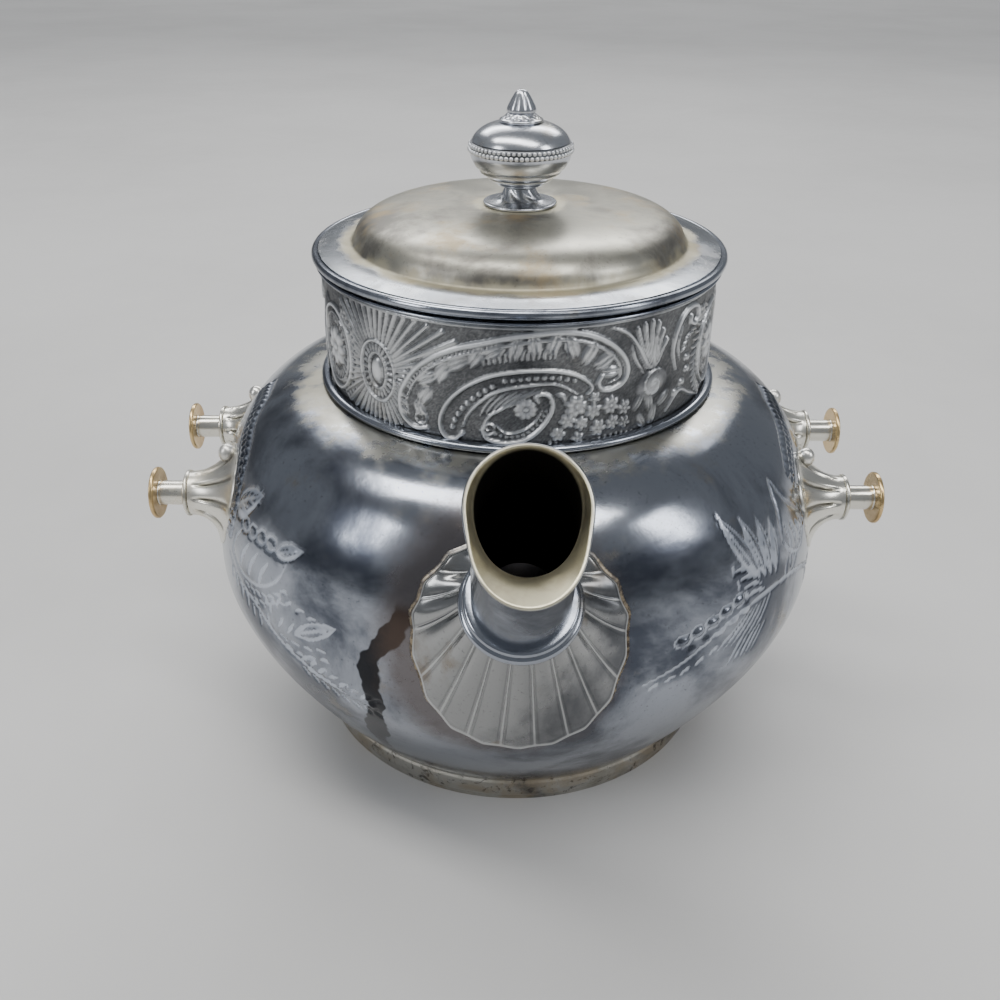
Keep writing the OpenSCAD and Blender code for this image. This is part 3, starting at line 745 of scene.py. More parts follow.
def sunburst(relief):
    """An oval boss in a ring of short bars, with rays that reach to the neighbours."""
    cx, cy = -39.5, 15.5
    # How far the rays reach, by angle
    reach = [(0, 8.2), (16, 13.5), (22, 20), (28, 27), (45, 21.5), (60, 18), (90, 15.8), (120, 18.2),
             (138, 21.5), (155, 15), (180, 10.2), (200, 13.5), (208, 20), (225, 17.5), (245, 14.4),
             (270, 13), (300, 14.6), (318, 12.8), (335, 9.2), (360, 8.2)]
    rays = 46
    hub_w, hub_h = 6.9, 8.7
    for k in range(rays):
        deg = 360*(k + 0.5)/rays
        out = np.interp(deg, [p[0] for p in reach], [p[1] for p in reach])
        c, s = cos_sin(deg)
        start = 1/math.hypot(c/hub_w, s/hub_h)
        if out > start + 0.8:
            relief.stroke([(cx + start*c, cy + start*s), (cx + out*c, cy + out*s)],
                          0.95 + 0.035*(out - start), 0.62, ends=(0.75, 1), smooth=False)
    relief.oval(cx, cy, 6.1, 7.9, 1.0, 0.85)
    bars(relief, cx, cy, 24, (3.5, 5.2), (5.1, 6.9), 0.8, 0.55)
    relief.oval(cx, cy, 3.1, 4.8, 0.8, 0.7)
    relief.dome(cx, cy, 2.1, 3.6, 1.0)


def big_scroll(relief):
    """The long C with its leafy edge."""
    spine = [(-24, 4), (-28, 3.4), (-31.4, 6), (-32, 10), (-30.5, 14), (-27, 19), (-22, 23), (-16, 26),
             (-10, 27.8), (-3, 29.6), (4, 30.6), (10, 30.8), (15, 30), (19.5, 28.2), (23.5, 25.5),
             (26.4, 22), (27.2, 18.8), (26, 16.2), (23, 14.9), (20.5, 15.2), (19.2, 17), (20, 18.8)]
    relief.stroke(spine, 1.7, 0.95, ends=(0.8, 0.8))
    relief.stroke(offset_line(spine[2:-3], -1.9), 0.9, 0.72, ends=(0.6, 0.6), smooth=False)
    chased_ticks(relief, [(-29, 13.5), (-26, 17.5), (-21, 21.2), (-14, 24.6), (-6, 27.4)], 1.6, 60,
                 1.1, 0.75, 0.6)
    # Ruffled leaf under the C, lobe by lobe
    lobes = [(-24.5, 12.5, 3.4, 2.0, 60), (-24, 17, 3.2, 1.9, 30), (-19.6, 19.4, 3.6, 2.0, 60),
             (-15.6, 22.2, 3.6, 1.9, 30), (-11, 24.2, 3.4, 1.9, 55), (-6.6, 26, 3.2, 1.7, 30),
             (-1.5, 26.6, 3.2, 1.7, 75), (3, 27.6, 3, 1.7, 100), (7.6, 27.9, 3, 1.7, 70),
             (12, 27, 3.2, 1.9, 110), (16.5, 25, 3.4, 2.0, 60), (20.6, 22.6, 3.2, 2.0, 30),
             (22.5, 19.4, 2.6, 1.7, 0), (-26.2, 8.6, 2.6, 1.8, 100)]
    for x, y, rx, ry, angle in lobes:
        relief.dome(x, y, rx, ry, 0.78, angle, 0.6)
        c, s = cos_sin(angle)
        relief.stroke([(x - 0.9*rx*c, y - 0.9*rx*s), (x + 0.9*rx*c, y + 0.9*rx*s)], 0.6, -0.35,
                      (1, 0.5), False)
    scroll(relief, (-26, 6.4), 2.2, 90, -1.3, 0.8, 0.8)
    chased_ticks(relief, [(-9, 22.5), (-4, 23.6), (2, 24.2), (8, 24.6)], 2.8, 70, 1.2, 0.7, 0.55)


def plume_and_paisley(relief):
    """A beaded plume under the C, and a paisley that curls round a star flower."""
    outer = [(-14.4, 4.4), (-16.6, 2.3), (-19, 2.6), (-20.4, 5), (-20, 8.6), (-17.5, 13), (-13, 17),
             (-7, 20), (0, 21.3), (7, 21.3), (12, 20.3), (16, 18.2), (17.6, 16), (16.4, 14.6)]
    relief.stroke(outer, 1.25, 0.95, ends=(0.9, 0.7))
    relief.stroke([(-14.4, 6), (-13, 9.5), (-10, 13), (-6, 15.8), (0, 17.4), (8, 17.8), (14, 14.8)],
                  1.0, 0.8, ends=(0.7, 0.5))
    beads(relief, [(-17.2, 5.4), (-16, 8.4), (-13.8, 11.6), (-10.6, 14.6), (-7, 17)], 1.75, 0.72, 0.8)
    beads(relief, [(-4, 18.6), (2, 19.3), (8, 19.4), (13, 18.4)], 1.6, 0.65, 0.75)
    for k in range(6):
        x0, x1 = -10 + 1.4*k, -5.5 + 2.2*k
        relief.stroke([(x0, 9.2 + 0.5*k), ((x0 + x1)/2 - 0.6, 12.4 + 0.4*k), (x1, 15.6 + 0.2*k)],
                      0.75, 0.5)
    # Paisley
    relief.stroke([(-9.4, 6.2), (-8.4, 3.4), (-4, 2.3), (1, 3.2), (5, 6.3), (7.6, 10.8), (7.4, 14),
                   (5.6, 15.4), (3.6, 14.8), (4.2, 13.2)], 1.25, 1.0, ends=(0.8, 0.7))
    relief.stroke([(-6.2, 7.2), (-3.6, 5), (0.4, 5.7), (3.4, 8), (5.2, 11)], 0.75, 0.75)
    beads(relief, [(-6.2, 4.6), (-3, 3.9), (0.8, 4.6), (4, 7.2), (6.3, 10.8)], 1.25, 0.45, 0.6)
    scroll(relief, (-7.8, 6.2), 2.0, 200, 1.2, 0.75, 0.9)
    relief.stroke([(-9.4, 6.2), (-7.6, 9.4), (-4, 11.8), (-1.2, 13.4)], 0.9, 0.8, ends=(0.8, 0.4))
    relief.flower(1.2, 11.4, 2.7, 10, 0.85)
    relief.stroke([(8.4, 15.2), (10.2, 14.6), (10.8, 12.8)], 1.4, 0.7)


def flowers(relief):
    """A bunch of small flowers above a row of beads."""
    for x, y, r, petals in ((13.6, 11.6, 2.9, 7), (11.6, 7.8, 2.1, 6), (15.2, 6.8, 1.9, 6),
                            (9.4, 4.4, 1.9, 6), (18.2, 9.8, 2.2, 6), (23, 10.6, 2.5, 7),
                            (19.8, 5, 2.2, 6), (23.8, 5.8, 2.0, 6), (27, 9.2, 2.1, 6),
                            (14.4, 2.9, 1.7, 5), (27.4, 5.2, 1.7, 5), (18.4, 13.2, 1.6, 5)):
        relief.flower(x, y, r, petals, 0.78, x)
    beads(relief, [(7.4, 2.2), (12, 1.3), (18, 1.6), (24, 2.4), (30, 1.8)], 1.5, 0.55, 0.55)


def rose_and_fan(relief):
    """A rose on its leaves, with a fan of tall petals above it."""
    for x, y, rx, ry, angle in ((36, 13.2, 5.6, 4.3, 10), (31.4, 9.6, 3.0, 1.4, 60),
                                (35.4, 8.4, 2.8, 1.4, 100), (36.8, 5, 3.0, 1.5, 80),
                                (33, 4, 2.6, 1.3, 120), (40.6, 8.4, 2.8, 1.3, 40)):
        relief.dome(x, y, rx, ry, 0.75, angle, 0.6)
        if ry < 2:
            c, s = cos_sin(angle)
            relief.stroke([(x - rx*c, y - rx*s), (x + rx*c, y + rx*s)], 0.5, -0.35, smooth=False)
    for k, r in enumerate((0.85, 0.62, 0.38)):
        scroll(relief, (36, 13.4), 5.0*r, 60 + 130*k, 0.8, 0.7, 0.98)
    relief.dome(36.1, 13.6, 1.0, 0.8, 1.0)
    for x0, x1, y1 in ((34.2, 29.6, 29), (34.6, 31.8, 29.8), (35, 34.2, 30.2), (35.5, 36.4, 29.4),
                       (35.9, 38.2, 27.2), (36.2, 39.8, 24.4)):
        relief.stroke([(x0, 18), ((x0 + x1)/2 - 0.3, (18 + y1)/2), (x1, y1)], 1.5, 0.85, ends=(0.5, 1))
        relief.stroke([(x0, 19), ((x0 + x1)/2 - 0.3, (18 + y1)/2), (x1, y1 - 0.6)], 0.45, -0.3)
    relief.stroke([(33.4, 18), (30.4, 24), (26.6, 28.6), (22, 30.6)], 1.2, 0.85)
    relief.stroke([(32.6, 17), (29.4, 21.6), (28.2, 25.4)], 1.0, 0.75)


def side_scrolls(relief):
    """Scrolls, medallions and the paired scrolls at the back, which the front does not show."""
    relief.stroke([(44.6, 15), (42.8, 20), (43.3, 24.6), (45.6, 28.4), (49.2, 30.2), (52.8, 29.6),
                   (54.2, 27.3), (52.6, 25.1), (50, 26.1), (50.2, 27.8)], 1.5, 0.95, ends=(0.6, 0.8))
    relief.stroke([(46.4, 17), (45, 20.6), (45.4, 24), (47.2, 27)], 0.8, 0.7)
    chased_ticks(relief, [(47, 19), (48.6, 22), (51.6, 23.6)], 2.4, -40, 1.3, 0.8, 0.65)
    for x, y in ((50, 16.6), (50.6, 13.2), (48.4, 10.2), (45.6, 8.2)):
        relief.dome(x, y, 1.5, 1.2, 0.8)
    relief.stroke([(42, 4), (47, 8.4), (53, 5.6), (60, 2.6)], 1.3, 0.85)
    # Round medallions, one each side of the repeat
    for x, y in ((66, 16), (-60, 15.5)):
        relief.oval(x, y, 9.4, 11.2, 1.2, 0.92)
        relief.oval(x, y, 7.5, 9.2, 0.7, 0.7)
        bars(relief, x, y, 26, (5.2, 6.8), (6.9, 8.6), 0.7, 0.5)
        relief.flower(x, y, 5.4, 8, 0.9)
        for low, high in ((-64, 64), (116, 244)):
            a = np.radians(np.linspace(low, high, 7))
            ring = np.stack([x + 10.6*np.cos(a), y + 12.4*np.sin(a)], -1)
            chased_ticks(relief, ring, 3.4, -75, 1.6, 0.95, 0.55)
    relief.flower(-53.4, 25.8, 2.4, 6, 0.7)
    relief.flower(-66.6, 3.4, 2.2, 6, 0.7)
    relief.flower(57, 26.5, 2.4, 6, 0.7)
    for sign in (-1, 1):
        x = 85.3 - sign*3.5
        relief.stroke([(x, 3), (x - 4*sign, 8), (x - 3.5*sign, 14), (x + 1*sign, 19),
                       (x + 0.5*sign, 25), (x - 4*sign, 28.6)], 1.5, 0.95)
        scroll(relief, (x - 4.2*sign, 25.4), 3.2, 90, -1.2*sign, 1.0, 0.9)
        scroll(relief, (x - 4.6*sign, 5.6), 2.8, 270, 1.2*sign, 1.0, 0.85)
    for x, y, angle in ((76.4, 27.5, 35), (94.2, 27.5, 145), (76.4, 4.2, -35), (94.2, 4.2, 215),
                        (85.3, 29, 90), (85.3, 3, 90), (85.3, 11, 90), (85.3, 21, 90)):
        relief.dome(x, y, 2.8, 1.3, 0.75, angle, 0.6)
    relief.flower(85.3, 16, 3.0, 8, 0.9)


band_columns = np.linspace(-HALF_BAND, HALF_BAND, 861)[:-1]
band_rows = np.linspace(0, BAND_TOP - SHOULDER_Z, 100)
frieze = Relief(band_columns, band_rows, (-HALF_BAND, 0, HALF_BAND))
for draw in (sunburst, big_scroll, plume_and_paisley, flowers, rose_and_fan, side_scrolls):
    draw(frieze)
for edge_h in (0.5, 31.9):
    frieze.stroke([(-HALF_BAND, edge_h), (HALF_BAND, edge_h)], 0.9, 0.6, (1, 1), False)
chance = np.random.default_rng(7)
# The punched ground is rough, and the raised work nearly smooth
rough_ground = chance.uniform(0, 0.16, frieze.z.shape)
smooth_work = chance.uniform(0, 0.05, frieze.z.shape)
frieze.z += frieze.cut + np.where(frieze.z < 0.12, rough_ground, smooth_work)
band_a = band_columns/BAND_MAP_R
band_outer = turned(BAND_R - 0.62 + frieze.z, SHOULDER_Z + band_rows[:, None], band_a)
band_lining = np.array([(BAND_R - 0.9, BAND_TOP), (BAND_R - WALL, BAND_TOP), (BAND_R - WALL, SHOULDER_Z),
                        (BAND_R - 0.9, SHOULDER_Z)])
band_points = np.concatenate([
    band_outer, turned(band_lining[:, :1], band_lining[:, 1:], band_a)]).reshape(-1, 3)
band = new_piece("embossed_band", band_points,
                 grid_faces(len(band_rows) + len(band_lining), len(band_a)), band_metal, "pot",
                 ["neck_band"], sharp=75)
# Painted light on the band: the low ground gets painted shade and the raised work a painted highlight, by its
# height; the lining gets a little painted shade
painted_light_level = np.full(len(band_points), 0.4)
painted_light_level[:frieze.z.size] = np.clip(0.02 + 1.05*frieze.z.ravel(), 0, 1)
mark(band, "relief", painted_light_level)


# ---------------------------------------------------------------- turned parts of the pot
def turned_piece(name, profile, material, body, replaced, radius=0.3):
    """A ring of revolution with its corners rounded."""
    points, faces = lathe(rounded(profile, radius, 4), 256)
    new_piece(name, points, faces, material, body, replaced)


def half_round(inner, bottom, height, bulge):
    """The section of a half-round wire on a flat back."""
    curve = arc(inner + 0.35*bulge, bottom + height/2, 0.65*bulge, height/2, -90, 90, 14)
    return np.vstack([[[inner, bottom]], curve, [[inner, bottom + height]]])


foot_r = FOOT_TOP_R - 1.6
foot_line = [(foot_r - 1.6, 0), (foot_r, 0), (foot_r + 0.1, 1.7), (foot_r + 0.7, 2.4), (foot_r + 1.1, 4.4),
             (foot_r + 1.1, 7.2), (foot_r + 0.7, 8.2), (foot_r + 1.1, 8.8), (foot_r + 0.6, FOOT_H + 0.1),
             (foot_r - 1.2, FOOT_H), (foot_r - 0.5, 5), (foot_r - 1.0, 2)]
turned_piece("foot", foot_line, foot_metal, "pot", ["foot_ring"])
turned_piece("shoulder_wire", half_round(BAND_R - 0.2, SHOULDER_Z, 2.2, 2.4), plain_metal, "pot",
             ["shoulder_bead"], radius=0.1)
turned_piece("rim_wire", half_round(BAND_R - WALL, BAND_TOP, 1.5, 2.6), plain_metal, "pot",
             ["rim_bead"], radius=0.1)

# ---------------------------------------------------------------- spout
RISE_C, RISE_S = math.cos(SPOUT_RISE), math.sin(SPOUT_RISE)
SPOUT_SIDES = 160
TUBE_WALL = 0.9


def spout_point(x, across, along):
    """From the spout's own frame (axis upwards, front at -across) to the pot's."""
    x, across, along = np.broadcast_arrays(x, across, along)
    return np.stack([x, SPOUT_Y - along*RISE_C + across*RISE_S,
                     SPOUT_Z + along*RISE_S + across*RISE_C], -1)


def around_spout(radius, angle, along):
    """A point about the spout's axis. Angle 0 is at its front."""
    return spout_point(radius*np.sin(angle), -radius*np.cos(angle), along)


ring_a = np.linspace(0, TAU, SPOUT_SIDES, endpoint=False)
# The tube starts where each line down its side comes out of the belly
search = np.linspace(TUBE_START, 0, 400)[:, None]
trial = around_spout(TUBE_BASE_R, ring_a, search)
outside = np.hypot(trial[..., 0], trial[..., 1]) > belly_at(trial[..., 2]) + 0.1
tube_foot = search[outside.argmax(0), 0]


def tube_ring(t, inset):
    """A ring of the tapering tube, at t from its foot on the belly to its end."""
    along = (1 - t)*tube_foot + t*TUBE_END
    radius = TUBE_BASE_R + (TUBE_TIP_R - TUBE_BASE_R)*(along - TUBE_START)/(TUBE_END - TUBE_START)
    return around_spout(radius - inset, ring_a, along)


steps = np.linspace(0, 1, 30)
tube_points = np.concatenate([[tube_ring(t, 0) for t in steps],
                              [tube_ring(t, TUBE_WALL) for t in steps[::-1]]])
spout = new_piece("spout", tube_points.reshape(-1, 3), grid_faces(len(tube_points), SPOUT_SIDES),
                  mouth_metal, "pot", ["spout_tube"])
# Painted shade: the tube's inside is marked black as the shade down the bore
for attribute in ("inside", "bore"):
    mark(spout, attribute, np.repeat([0.0, 1.0], len(steps)*SPOUT_SIDES))


def lip_ring(t, inset):
    """A ring of the flared mouth, which is drawn out into a pouring lip at the front."""
    c = np.cos(ring_a)
    edge = np.stack([12.05 + 7.1*np.maximum(c, 0)**3, 50.2 - 1.7*c], -1)
    turn = np.radians(np.where(c > 0, 25 + 46*c*c, 25 + 13.5*c))
    way = np.stack([np.sin(turn), np.cos(turn)], -1)
    inward = inset*np.stack([-np.cos(turn), np.sin(turn)], -1)
    foot = np.broadcast_to([TUBE_TIP_R - inset, TUBE_END], edge.shape)
    return bezier([foot, foot + [0, 7], edge - 5*way + inward, edge + inward],
                  np.full(SPOUT_SIDES, t))


# The wall is rolled round at the rim, so the edge catches the light
LIP_STEPS = 40
lip_rings = [lip_ring(t, 0) for t in np.linspace(0, 0.985, LIP_STEPS)]
lip_rings += [lip_ring(1, inset) for inset in (0.2, 0.45, 0.7)]
lip_rings += [lip_ring(t, TUBE_WALL) for t in np.linspace(0.985, 0, LIP_STEPS)]
lip_rings = np.array(lip_rings)
lip_points = around_spout(lip_rings[..., 0], ring_a, lip_rings[..., 1]).reshape(-1, 3)
lip = new_piece("spout_mouth", lip_points, grid_faces(len(lip_rings), SPOUT_SIDES),
                mouth_metal, "pot", ["spout_lip"], sharp=75)
# The lip's inside takes the pale painted light of the mouth's material
inside = np.clip((np.arange(len(lip_rings)) - LIP_STEPS)/3, 0, 1)[:, None] + 0*ring_a
mark(lip, "inside", inside)
# Painted shade down the bore: the lip's inside turns black below a line that rises towards the back
bore_shade = np.clip((47.6 - 5.0*np.cos(ring_a) - lip_rings[..., 1])/1.8, 0, 1)
mark(lip, "bore", inside*bore_shade)


collar_line = np.vstack([[[11.25, -2.4]], arc(13.1, -1.15, 1.2, 1.2, -80, 75, 10),
                         arc(12.3, 0.85, 1.0, 0.95, -50, 90, 8), [[11.25, 1.8]]])
new_piece("spout_collar", around_spout(collar_line[:, :1], ring_a, collar_line[:, 1:]).reshape(-1, 3),
          grid_faces(len(collar_line), SPOUT_SIDES), plain_metal, "pot", ["spout_ring"])

# Shell: petals between thin ribs, from the collar to an egg outline on the belly
PETALS = 18
SHELL_SIDES = 900
shell_a = np.linspace(0, TAU, SHELL_SIDES, endpoint=False)
shell_x, shell_y = np.cos(shell_a), np.sin(shell_a)


def shell_ring(t, gap, radius, flutes, spill=0.0):
    """One ring of the shell. Flutes scales the relief of the petals, and spill widens the rim."""
    ribs = np.abs(np.cos(shell_a*PETALS/2))
    scallop = 1 - 0.026*ribs**1.5 + spill
    swell = math.sin(math.pi*min(1, 0.15 + 0.9*t))**0.6*flutes
    petal = 0.75*(1 - ribs**3)
    line = 0.5*np.exp(-((1 - ribs)/0.007)**2)
    lift = swell*(petal + line) + 0.35*flutes*max(0, (t - 0.95)/0.05)
    x = 25.8*shell_x*scallop
    z = 79.5 + np.where(shell_y > 0, 22.5, 36.5)*shell_y*scallop
    edge = np.stack([x, on_belly(x, z, gap + lift), z], -1)
    swept = np.stack([x, on_belly(x, z, gap + 2.2 + lift), z], -1)
    out = radius + lift*0.8
    neck = spout_point(out*shell_x, out*shell_y, -2.4 - 0*shell_x)
    below = spout_point((out + 0.6)*shell_x, (out + 0.6)*shell_y, -6.0 + gap + lift)
    spread = spout_point((radius + 1.5)*shell_x, (radius + 1.5)*shell_y, -8.0 + gap + lift)
    return bezier([neck, below, 0.65*swept + 0.35*spread, edge], np.full(SHELL_SIDES, t))


shell_steps = np.linspace(0, 1, 56)
shell_rings = [shell_ring(t, 0.55, 13.0, 1) for t in shell_steps]
# Solder spills past the edge, unevenly and mostly at the sides
crust = chance.uniform(0.2, 1, SHELL_SIDES)
crust = (crust + np.roll(crust, 1) + np.roll(crust, 5) + np.roll(crust, 13))/4
crust *= np.clip(1.5*np.abs(shell_x) - 0.4, 0, 1)
spills = ((0.35, 0), (0.30, 0.006 + 0.014*crust), (0.08, 0.010 + 0.030*crust), (-0.3, 0.03))
shell_rings += [shell_ring(1, gap, 13.0, 0, spill) for gap, spill in spills]
shell_rings += [shell_ring(t, -0.3, 12.2, 0) for t in (1, 0.75, 0.5, 0.25, 0)]
shell_points = np.concatenate(shell_rings)
shell = new_piece("spout_shell_petals", shell_points,
                  grid_faces(len(shell_rings), SHELL_SIDES),
                  shell_metal, "pot", ["spout_shell"], sharp=60)
# Painted light on the shell: a painted highlight along each rib and on the rim, and painted shade just beside
# the ribs
joint = 1 - np.abs(np.cos(shell_a*PETALS/2))
fade = np.interp(shell_steps, [0, 0.12, 0.9, 1], [0.2, 1, 1, 0.6])[:, None]
painted_light_level = 0.5 + fade*(0.5*np.exp(-(joint/0.008)**2) - 0.22*np.exp(-((joint - 0.07)/0.05)**2))
painted_light_level = np.where(shell_steps[:, None] > 0.975, 0.95, painted_light_level)
plain = np.full((len(shell_rings) - len(shell_steps))*SHELL_SIDES, 0.5)
mark(shell, "relief", np.concatenate([painted_light_level.ravel(), plain]))
solder = np.zeros((len(shell_rings), SHELL_SIDES))
solder[len(shell_steps):len(shell_steps) + len(spills)] = 0.15 + 0.7*np.clip(1.4*np.abs(shell_x) - 0.4, 0, 1)
mark(shell, "solder", solder)

# ---------------------------------------------------------------- lid
lid_top_line = spline([(2.1, LID_TOP), (13.56, 157.5), (24.86, 157.25), (32.5, 156.7), (38, 155.7),
                       (41.6, 154.1), (43.8, 151.9), (44.9, 149.6), (45.6, 148.75), (47, 148.5),
                       (50, 148.3), (54.3, 147.5)], 10)
# The underside is 1 mm lower, and 0.9 mm further in where the dome is steep
lid_under = lid_top_line[::-1] - [[0, 1.0]]
steep = (lid_under[:, 0] > 14) & (lid_under[:, 0] < 46)
lid_under[steep, 0] -= 0.9
lid_points, lid_faces = lathe(np.vstack([lid_top_line, lid_under]), 256)
new_piece("lid_dome", lid_points, lid_faces, lid_metal, "lid", ["lid_shell"])
turned_piece("lid_edge", arc(LID_R - 1.15, DOME_Z - 2.4, 1.15, 1.15, 0, 345, 24), plain_metal,
             "lid", ["lid_edge_wire"], radius=0.01)
bezel = BAND_R - WALL - 0.5
turned_piece("lid_bezel_ring", [(bezel - 1, 141), (bezel, 141), (bezel, DOME_Z - 2.2),
                                (bezel - 1, DOME_Z - 2.1)], lid_metal, "lid", ["lid_bezel"])

# ---------------------------------------------------------------- finial
PEDESTAL_Z, BOWL_Z, GIRDLE_Z = LID_TOP, LID_TOP + 4.4, LID_TOP + 13.4
CROWN_Z, CAP_Z, BUD_Z = GIRDLE_Z + 2.6, GIRDLE_Z + 7.4, GIRDLE_Z + 9.6
STUD_BORE = 2.05
FINIAL_SIDES = 144
finial_a = np.arange(FINIAL_SIDES)/FINIAL_SIDES*TAU


def finial_part(name, outline, replaced, bore=STUD_BORE, wave=None, painted_light_level=0.5):
    """A turned part of the finial from its outer outline, bottom to top, with the stud's hole. Wave gives the
    factor on the radius, by angle and share of the height. Its painted light level paints shade below 0.5 and
    a painted highlight above it."""
    line = np.asarray(outline, float)
    count = len(line)
    loop = np.vstack([line, [[bore, line[-1, 1]], [bore, line[0, 1]]]])
    points, faces = lathe(loop, FINIAL_SIDES)
    grid = points.reshape(len(loop), FINIAL_SIDES, 3)
    if wave:
        grid[:count, :, :2] *= wave(finial_a[None, :], np.linspace(0, 1, count)[:, None])[..., None]
    piece = new_piece(name, grid.reshape(-1, 3), faces, finial_metal, "lid", replaced, sharp=50)
    values = np.full((len(loop), FINIAL_SIDES), 0.5)
    values[:count] = np.broadcast_to(painted_light_level, (count, FINIAL_SIDES))
    mark(piece, "relief", values)


# Foot disc with a rolled edge, and a neck with twisted leaves under the bowl
pedestal_line = np.vstack([
    [[9.7, PEDESTAL_Z]], arc(9.5, PEDESTAL_Z + 0.4, 0.4, 0.4, -80, 100, 7),
    bezier([(9.0, PEDESTAL_Z + 0.75), (6.4, PEDESTAL_Z + 1.0), (4.2, PEDESTAL_Z + 1.6),
            (3.9, PEDESTAL_Z + 4.4)], np.linspace(0, 1, 16))])
leaf_zone = np.interp(np.linspace(0, 1, len(pedestal_line)), [0.6, 0.75, 0.92, 1], [0, 1, 1, 0.4])
# Painted light: the twisted leaves get a painted highlight and the gaps between them painted shade
finial_part("finial_foot", pedestal_line, ["finial_pedestal"],
            wave=lambda a, t: 1 + 0.10*leaf_zone[:, None]*np.abs(np.sin(4*a + 9*t)),
            painted_light_level=0.5 + leaf_zone[:, None]*(0.55*np.abs(np.sin(4*finial_a)) - 0.35))
# Bowl with turned ridges round its lower part
bowl_line = bezier([(4.2, BOWL_Z), (7.2, BOWL_Z + 1.2), (13.2, BOWL_Z + 4.8), (13.3, GIRDLE_Z)],
                   np.linspace(0, 1, 60))
turns = np.linspace(0, 5.5*TAU, 60)
low = np.interp(np.arange(60), [0, 34, 44], [1, 1, 0])
bowl_line[:, 0] += 0.22*low*np.cos(turns)
# Painted light: a painted highlight on each turned ridge and painted shade between
finial_part("finial_bowl_ridged", bowl_line, ["finial_bowl"],
            painted_light_level=0.5 + 0.4*(low*np.cos(turns))[:, None])
# Girdle with two rows of beads
girdle_line = np.vstack([[[13.15, GIRDLE_Z]], arc(13.0, GIRDLE_Z + 0.7, 0.55, 0.62, -70, 70, 6),
                         arc(13.0, GIRDLE_Z + 1.85, 0.55, 0.62, -70, 70, 6),
                         [[12.9, GIRDLE_Z + 2.6]]])
ring_points, ring_faces = lathe(np.vstack([
    girdle_line, [[STUD_BORE, GIRDLE_Z + 2.6], [STUD_BORE, GIRDLE_Z]]]))
parts = [(ring_points, ring_faces)]
BEADS = 64
for k in range(BEADS):
    for turn, out, up, radius in ((k, 13.38, 0.66, 0.62), (k + 0.5, 13.30, 1.85, 0.55)):
        a = TAU*turn/BEADS
        parts.append(ball((out*math.sin(a), -out*math.cos(a), GIRDLE_Z + up), radius))
girdle_points, girdle_faces = merged(parts)
girdle = new_piece("finial_beads", girdle_points, girdle_faces, finial_metal, "lid",
                   ["finial_girdle"])
# Painted shade on the ring between the beads, and a painted highlight on the beads' outer sides
painted_light_level = np.full(len(girdle_points), 0.12)
bead_points = girdle_points[len(ring_points):]
painted_light_level[len(ring_points):] = 0.5 + 0.45*(np.hypot(bead_points[:, 0], bead_points[:, 1]) - 13.2)/0.7
mark(girdle, "relief", np.clip(painted_light_level, 0, 1))
# Smooth crown, wavy collar and faceted tip
crown_line = np.vstack([[[12.7, CROWN_Z]], bezier([
    (12.95, CROWN_Z + 0.2), (11.9, CROWN_Z + 2.8), (8.6, CROWN_Z + 4.6), (5.2, CAP_Z)],
    np.linspace(0, 1, 30)), [[2.1, CAP_Z]]])
finial_part("finial_crown", crown_line, ["finial_dome"])
cap_line = np.vstack([arc(5.3, CAP_Z + 0.42, 0.42, 0.42, -90, 70, 7),
                      bezier([(5.1, CAP_Z + 0.85), (4.8, CAP_Z + 1.0), (4.1, CAP_Z + 1.6),
                              (3.45, CAP_Z + 2.2)], np.linspace(0, 1, 10))])
cap_zone = np.interp(np.arange(17), [7, 9, 14, 16], [0, 1, 1, 0])[:, None]
# Painted shade in the collar's wavy grooves
finial_part("finial_collar", cap_line, ["finial_cap"], bore=0.4,
            wave=lambda a, t: 1 + 0.045*cap_zone*np.sin(16*a)*np.sin(3*TAU*t),
            painted_light_level=0.5 - 0.3*cap_zone*(np.sin(16*finial_a) > 0.2))
bud_line = np.vstack([[[2.9, BUD_Z]], bezier([(3.4, BUD_Z), (4.15, BUD_Z + 0.2), (3.9, BUD_Z + 1.2),
                      (3.0, BUD_Z + 2.7)], np.linspace(0, 1, 9)),
                      bezier([(2.9, BUD_Z + 2.9), (2.2, BUD_Z + 4.1), (1.5, BUD_Z + 5.6),
                              (0.42, BUD_Z + 5.6)], np.linspace(0, 1, 9))])
facets = np.interp(np.arange(len(bud_line)), [0, 3, 14, 18], [0, 1, 1, 0])[:, None]
# Painted shade in the grooves between the tip's facets
finial_part("finial_tip", bud_line, ["finial_bud"], bore=0.3,
            wave=lambda a, t: 1 - 0.085*facets*(1 - np.abs(np.cos(4*a))),
            painted_light_level=0.62 - 0.3*facets*(np.abs(np.cos(4*finial_a)) < 0.3))

# ---------------------------------------------------------------- handle
# The grip's centre line as two curves of [y, z] points, from the upper socket to the lower one
handle_top = [(70, 133.5), (86, 146.5), (122, 163), (134, 135)]
handle_low = [(134, 135), (143, 114), (122, 73), (97.5, 54)]
GRIP_END_R, GRIP_HALF_W, GRIP_HALF_T = 5.6, 9.5, 4.6
GRIP_SIDES = 48


def handle_at(t):
    return bezier(handle_top, 2*t) if t < 0.5 else bezier(handle_low, 2*t - 1)


